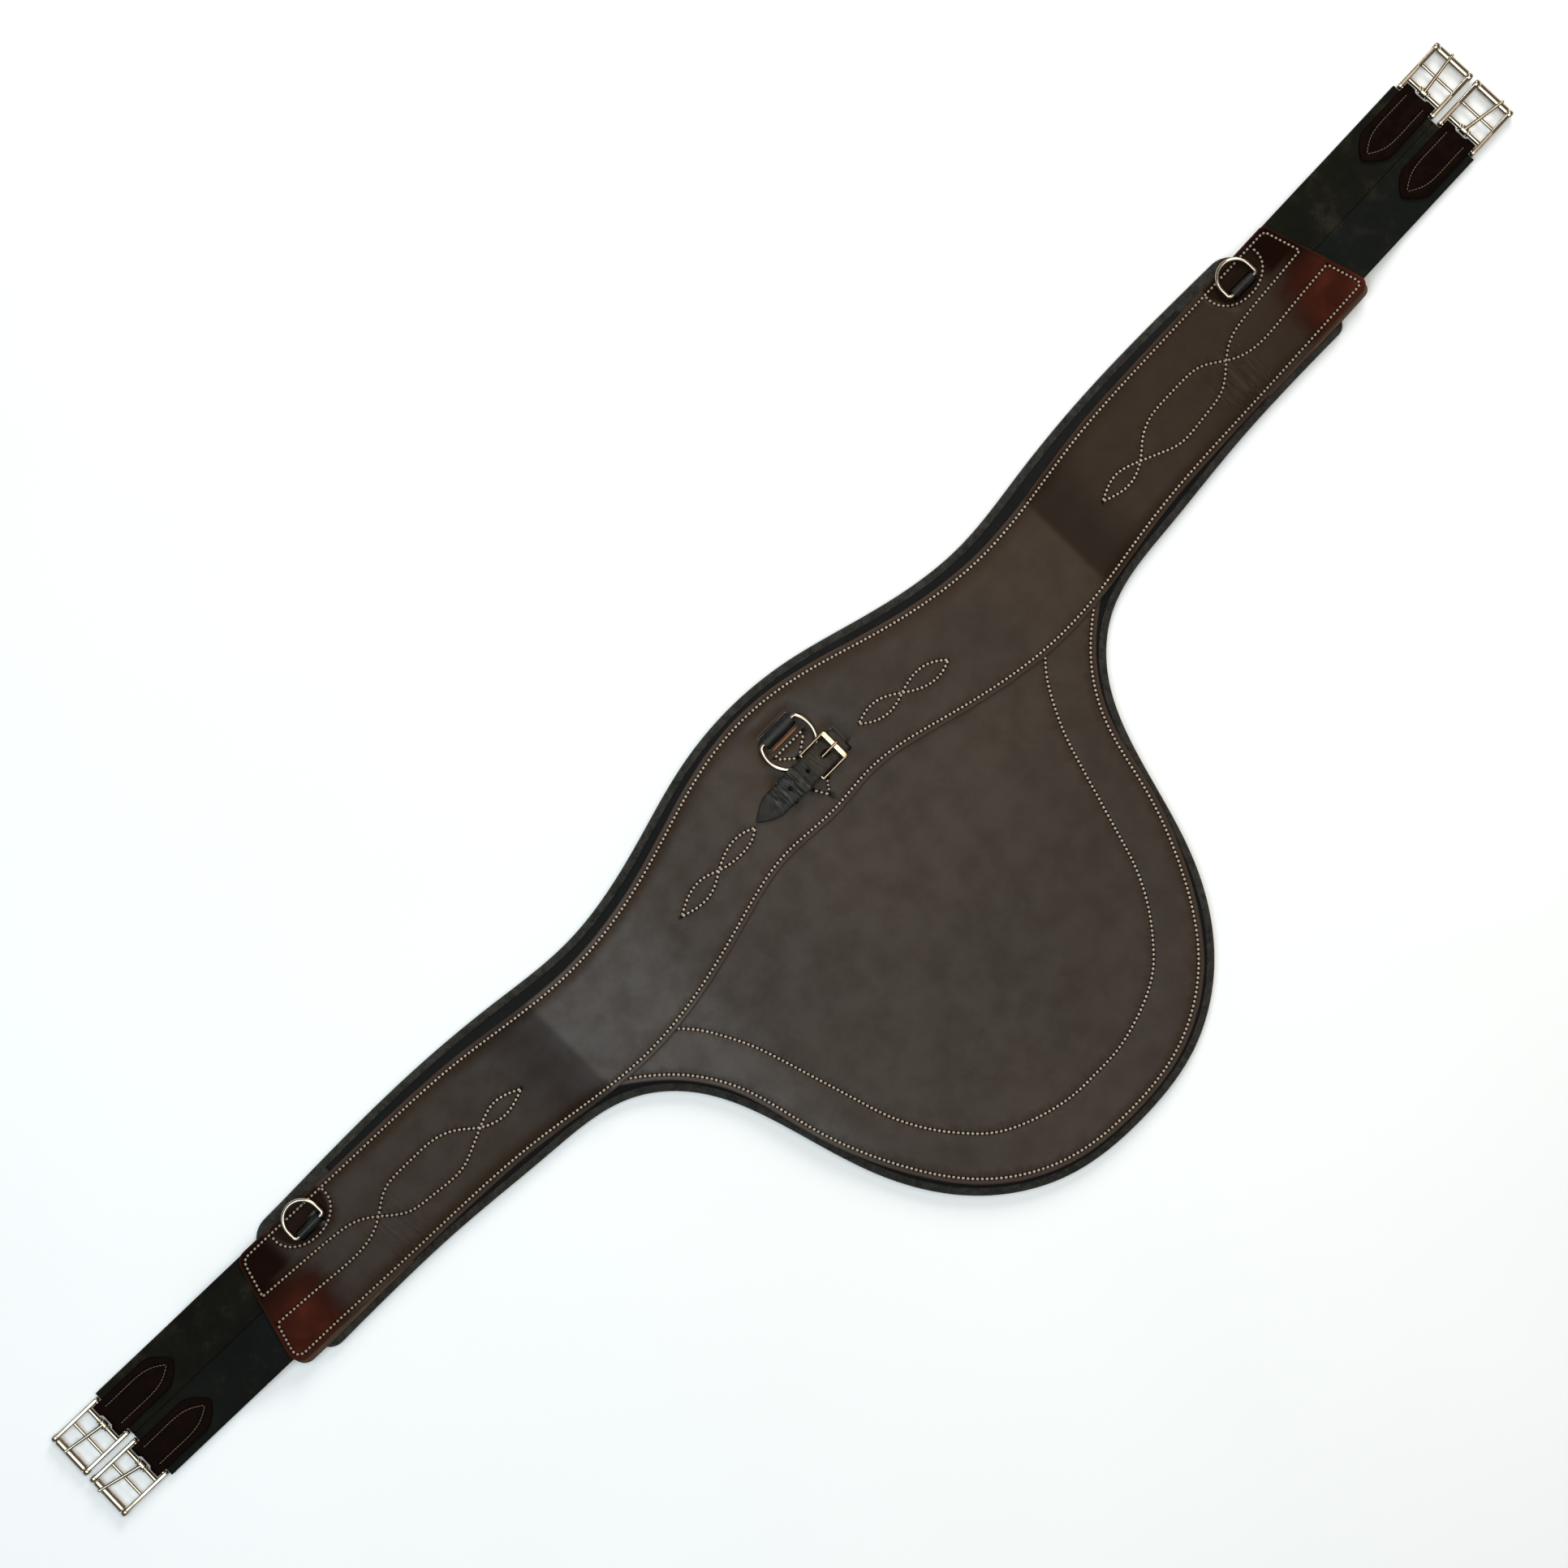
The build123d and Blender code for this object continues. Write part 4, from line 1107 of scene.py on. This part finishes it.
# ---- Loops over the rings' bars ----
def loop_band(name, x, half, y, inner, bar_z, wire, node):
    r = inner + LOOP_T / 2
    top = bar_z + wire + 0.3 + LOOP_T / 2
    turn = min(4.2, r - 0.15)
    path = bent_path(
        [(-r - LOOP_TAB, Z_TAIL), (-r, Z_TAIL), (-r, top), (r, top), (r, Z_TAIL), (r + LOOP_TAB, Z_TAIL)],
        [0.6, turn, turn, 0.6],
    ) + (y, 0)
    place, length = on_path(path, "y", x)
    fold = length / 2
    piece = Panel(
        [rectangle(0, length, -half, half, 1.2, 0.4)], LOOP_T / 2, LOOP_T, grid=1.3, edge=0.32, place=place,
        height=lambda uv, d: -0.16 * smooth(np.abs(uv[:, 1]) / half) + 0.05 * np.cos((uv[:, 0] - fold) * 2.1),
    )
    # u runs to +Y and v to +X here, which turns the faces inside out
    return done(turned_out(piece.build(name)), LOOP_LEATHER, node)


for side, end in ((1, "right"), (-1, "left")):
    x = side * RING_X[side]
    loop_band("ring_strap_" + end, x, LOOP_HALF, RING_BAR_Y, LOOP_IN, RING_BAR_Z, 1.45, "ring_loop_" + end)
loop_band(
    "ring_strap_centre", CENTRE_X, CENTRE_LOOP_HALF, CENTRE_BAR_Y, CENTRE_LOOP_IN, CENTRE_BAR_Z, 1.55,
    "centre_ring_loop",
)

# ---- Centre clip: billet, chape and keeper ----
flat = Z_TOP + 0.1 + BILLET_T / 2
billet_path = bent_path(
    [
        (BILLET_TIP, flat), (-20.5, flat), (-7, BILLET_LEVEL), (4.6, BILLET_LEVEL), (12, BILLET_ARCH),
        (22.4, BILLET_ARCH), (29.6, flat + 2.4), (34, flat + 0.7), (BILLET_SLIT_X, flat),
        (BILLET_SLIT_X, Z_TAIL), (58, Z_TAIL),
    ],
    [8.0, 8.0, 6.0, 6.0, 3.5, 3.0, 4.0, 0.85, 0.85],
)
billet_place, billet_length = on_path(billet_path, shift=CLIP_Y)
along = lengths(billet_path)
flat_part = billet_path[:, 0] < BILLET_SLIT_X - 1


def billet_u(x):
    return float(np.interp(x, billet_path[flat_part, 0], along[flat_part]))


def nose(tip, shoulder, half, bulge=1.9, blunt=0.85):
    """A strap's pointed end: bulging sides from the shoulder to the tip."""
    shares = np.linspace(0, 1, 14)
    return [(shoulder + (tip - shoulder) * t, half * (1 - t ** bulge) ** blunt) for t in shares]


point = nose(0.0, 17.0, BILLET_HALF, 1.35, 0.88)
billet_loop = [(billet_length, -BILLET_HALF), (billet_length, BILLET_HALF)]
billet_loop = np.array(billet_loop + point + [(u, -v) for u, v in point[-2::-1]])
billet_holes = [circle(billet_u(x), 0, 1.0) for x in (8.0, -8.5)]
slot_start, slot_stop = billet_u(TONGUE_HOLE[0]), billet_u(TONGUE_HOLE[1] - 0.6)
billet_holes.append(rectangle(slot_start, slot_stop, -1.75, 1.75, 1.0, 1.4))


def billet_height(uv, d):
    u, v = uv.T
    x = np.interp(u, along, billet_path[:, 0])
    used = smooth((x + 29) / 5) * (1 - smooth((x - 1) / 4))
    used = used + 0.45 * smooth((x - 4) / 3) * (1 - smooth((x - 30) / 4))
    wander = np.array([noise.noise((a / 9, b / 11, 1.5)) for a, b in uv])
    wrinkles = 1 - 2 * np.abs(np.sin(pi * (u + 2.6 * wander) / 2.5)) ** 0.7
    dome = -0.18 * (np.abs(v) / BILLET_HALF) ** 2
    crease = -0.3 * np.exp(-((x + 21) / 0.45) ** 2)
    return dome + (used * (0.2 * wrinkles + 0.12 * wander) + crease) * smooth(d / 1.2)


billet = Panel(
    [even(billet_loop, 1.1, closed=True)] + billet_holes, BILLET_T / 2, BILLET_T, grid=0.95, edge=0.4,
    height=billet_height, place=billet_place,
)
done(billet.build("billet_strap"), BILLET_LEATHER, "clip_billet")

wrap = [
    (PIVOT[0] + 1.62 * cos(radians(t)), PIVOT[1] + 1.62 * sin(radians(t))) for t in range(-90, 131, 10)
]
clip_path = bent_path(
    [(-27, Z_TAIL), (CHAPE_SLIT_X, Z_TAIL), (CHAPE_SLIT_X, CHAPE_LEVEL - 1.6), (-6.5, CHAPE_LEVEL),
     (7.5, CHAPE_LEVEL), wrap[0]],
    [0.85, 1.5, 4.0, 3.0],
)
clip_path = np.vstack([clip_path, wrap[1:]])
clip_place, clip_length = on_path(clip_path, shift=CLIP_Y)
wrap_u = clip_length - 1.62 * radians(220)
clip_strap = Panel(
    [rectangle(0, clip_length, -BILLET_HALF + 0.1, BILLET_HALF - 0.1, 1.2, 0.5),
     rectangle(wrap_u - 3.0, clip_length - 1.2, -2.1, 2.1, 1.0, 0.5)],
    0.55, 1.1, grid=1.3, edge=0.35, place=clip_place,
)
# on the way round the pivot the strap's left side is its inner one, so its offset is the same either way
done(clip_strap.build("clip_chape_strap"), BLACK_LEATHER, "clip_chape")

low, high = (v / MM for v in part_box("clip_keeper"))
y0, y1, z0, z1 = low.y + 0.4, high.y - 0.4, low.z + 0.4, high.z - 0.4
middle = (y0 + y1) / 2
keeper_path = bent_path([(middle, z0), (y0, z0), (y0, z1), (y1, z1), (y1, z0), (middle, z0)], [1.2] * 4)
keeper_place, keeper_length = on_path(keeper_path, "y", (low.x + high.x) / 2)
keeper_half = (high.x - low.x) / 2
keeper = Panel(
    [rectangle(0, keeper_length, -keeper_half, keeper_half, 1.2)], 0.4, 0.8, grid=1.2, edge=0.3,
    height=lambda uv, d: 0.08 * np.cos(uv[:, 1] * 1.7), place=keeper_place,
)
done(keeper.build("keeper_band"), BILLET_LEATHER, "clip_keeper")

# ---- Elastic ends and their buckles ----
LANES = {"left_front": (-1, 1), "left_rear": (-1, -1), "right_front": (1, 1), "right_rear": (1, -1)}
elastic_z = Z_CORE + 0.4 + ELASTIC_T / 2


def elastic_path():
    """Level under the leather, then an easy S down to the buckle's level."""
    s = np.linspace(BEND_FROM, BEND_TO, 40)
    fall = smooth((s - BEND_FROM) / (BEND_TO - BEND_FROM))
    curve = np.column_stack([s, elastic_z + (BAR_Z - elastic_z) * fall])
    return np.vstack([[(ELASTIC_IN, elastic_z)], curve, [(ELASTIC_END, BAR_Z)]])


def elastic_ribs(u, v):
    sew = np.abs(v) > ELASTIC_W / 2 - 3.0
    ribs = 0.045 * np.cos(2 * pi * v / 2.05)
    slack = 0.12 * np.sin(u / 11.0 + v / 23.0)
    return np.where(sew, 0.07, ribs) + slack * 0.5


def leaf_rows(length):
    """The pointed line of stitches on each leaf of a chape."""
    half = [(55.0, 7.75), (40.5, 7.75), (25, 7.6), (17, 6.2), (10.5, 3.2), (6.2, 0.4)]
    lines = []
    for side in (1, -1):
        line = spline([(u, side * v) for u, v in half])
        lines += [line, line * (-1, 1) + (length, 0)]
    return stitched(lines, 2.3)


chape_path = [(-CHAPE_TIP, CHAPE_OUTER)]
chape_path += [(CHAPE_OUTER * sin(t), CHAPE_OUTER * cos(t)) for t in np.linspace(0, pi, 25)]
chape_path += [(-CHAPE_TIP, -CHAPE_OUTER)]
chape_length = lengths(np.array(chape_path))[-1]


def chape_thin(uv, d):
    """Full leather on the leaves, skived where it turns round the bar."""
    off = np.abs(uv[:, 0] - chape_length / 2)
    full = 0.1 + 1.75 * smooth((np.abs(uv[:, 1]) - 4.2) / 2.0)
    return 1.22 + (CHAPE_T - 1.22) * smooth((off - 5.0) / 3.0) + full * smooth(1 - off / 4.9)


def chape_height(uv, d):
    u, v = uv.T
    off = np.abs(u - chape_length / 2)
    crown = 0.10 * smooth((off - 9) / 12) * (1 - (np.abs(v) / CHAPE_HALF) ** 2)
    full = 0.1 + 1.75 * smooth((np.abs(v) - 4.2) / 2.0)     # fuller beside the tongue's eye
    return crown - 0.12 + full * smooth(1 - off / 4.9) + ripple(uv, 7.0, 0.10, 9.0)


leaf = nose(0.0, CHAPE_TIP - CHAPE_SHOULDER, CHAPE_HALF, 1.6, 0.86)
chape_right = leaf + [(u, -v) for u, v in leaf[-2::-1]]
chape_left = [(chape_length - u, -v) for u, v in chape_right]
chape_loop = even(np.array(chape_right + chape_left), 1.6, closed=True)

for lane_name, (side, lane) in LANES.items():
    end = "right" if side > 0 else "left"
    path, length = on_path(elastic_path())
    place = both(path, to_end(side, lane, 0, 0))
    half = LANE + 0.01
    elastic = strip("elastic_band_" + lane_name, length, half, ELASTIC_T - 0.25, 2.2, 95, elastic_ribs, place)
    if side < 0:
        turned_out(elastic)
    done(elastic, ELASTIC[side], "elastic_" + lane_name, None)
    fixed, pulled = (
        Vector(place(np.array([[u - ELASTIC_IN, 0, 0]]))[0]) * MM for u in (BEND_FROM - 4, BAR_S - CHAPE_TIP)
    )
    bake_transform(elastic)

    path, _ = on_path(chape_path)
    place = both(path, to_end(side, lane, BAR_S, BAR_Z))
    chape = Panel(
        [chape_loop], 0, CHAPE_T, leaf_rows(chape_length), grid=1.2, edge=0.45,
        height=chape_height, thin=chape_thin, place=place,
    )
    leather = chape.build("chape_strap_" + lane_name)
    sewn = thread("stitching_chape_" + lane_name, chape, width=0.30, tall=0.34, share=0.46)
    if side < 0:
        turned_out(leather)
        turned_out(sewn)
    done(leather, CHAPE_LEATHER, "buckle_chape_" + lane_name, "chape_" + lane_name)
    done(sewn, CHAPE_THREAD, None, "chape_" + lane_name)

# ---- Metal, floor and the end of the script ----
for name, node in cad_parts.items():
    if node.hide_render:
        continue
    if not node.material_slots:
        node.data.materials.append(STEEL)
    for entry in node.material_slots:
        entry.link = "OBJECT"
        entry.material = STEEL

floor_corners = [(x * 4000, y * 4000, -0.4) for x, y in ((-1, -1), (1, -1), (1, 1), (-1, 1))]
floor = mesh_object("floor", floor_corners, [(0, 1, 2, 3)])
p = Paint("floor_paper", Specular_IOR_Level=0.1, Emission_Color=(1, 1, 1, 1), Emission_Strength=0.08)
p.ground(p.span(p.noise(2.0), 0.3, 0.7), (244, 244, 244), (247, 247, 247))
floor.data.materials.append(p.finish(p.span(p.noise(300.0), 0.3, 0.7, 0.85, 0.95)))
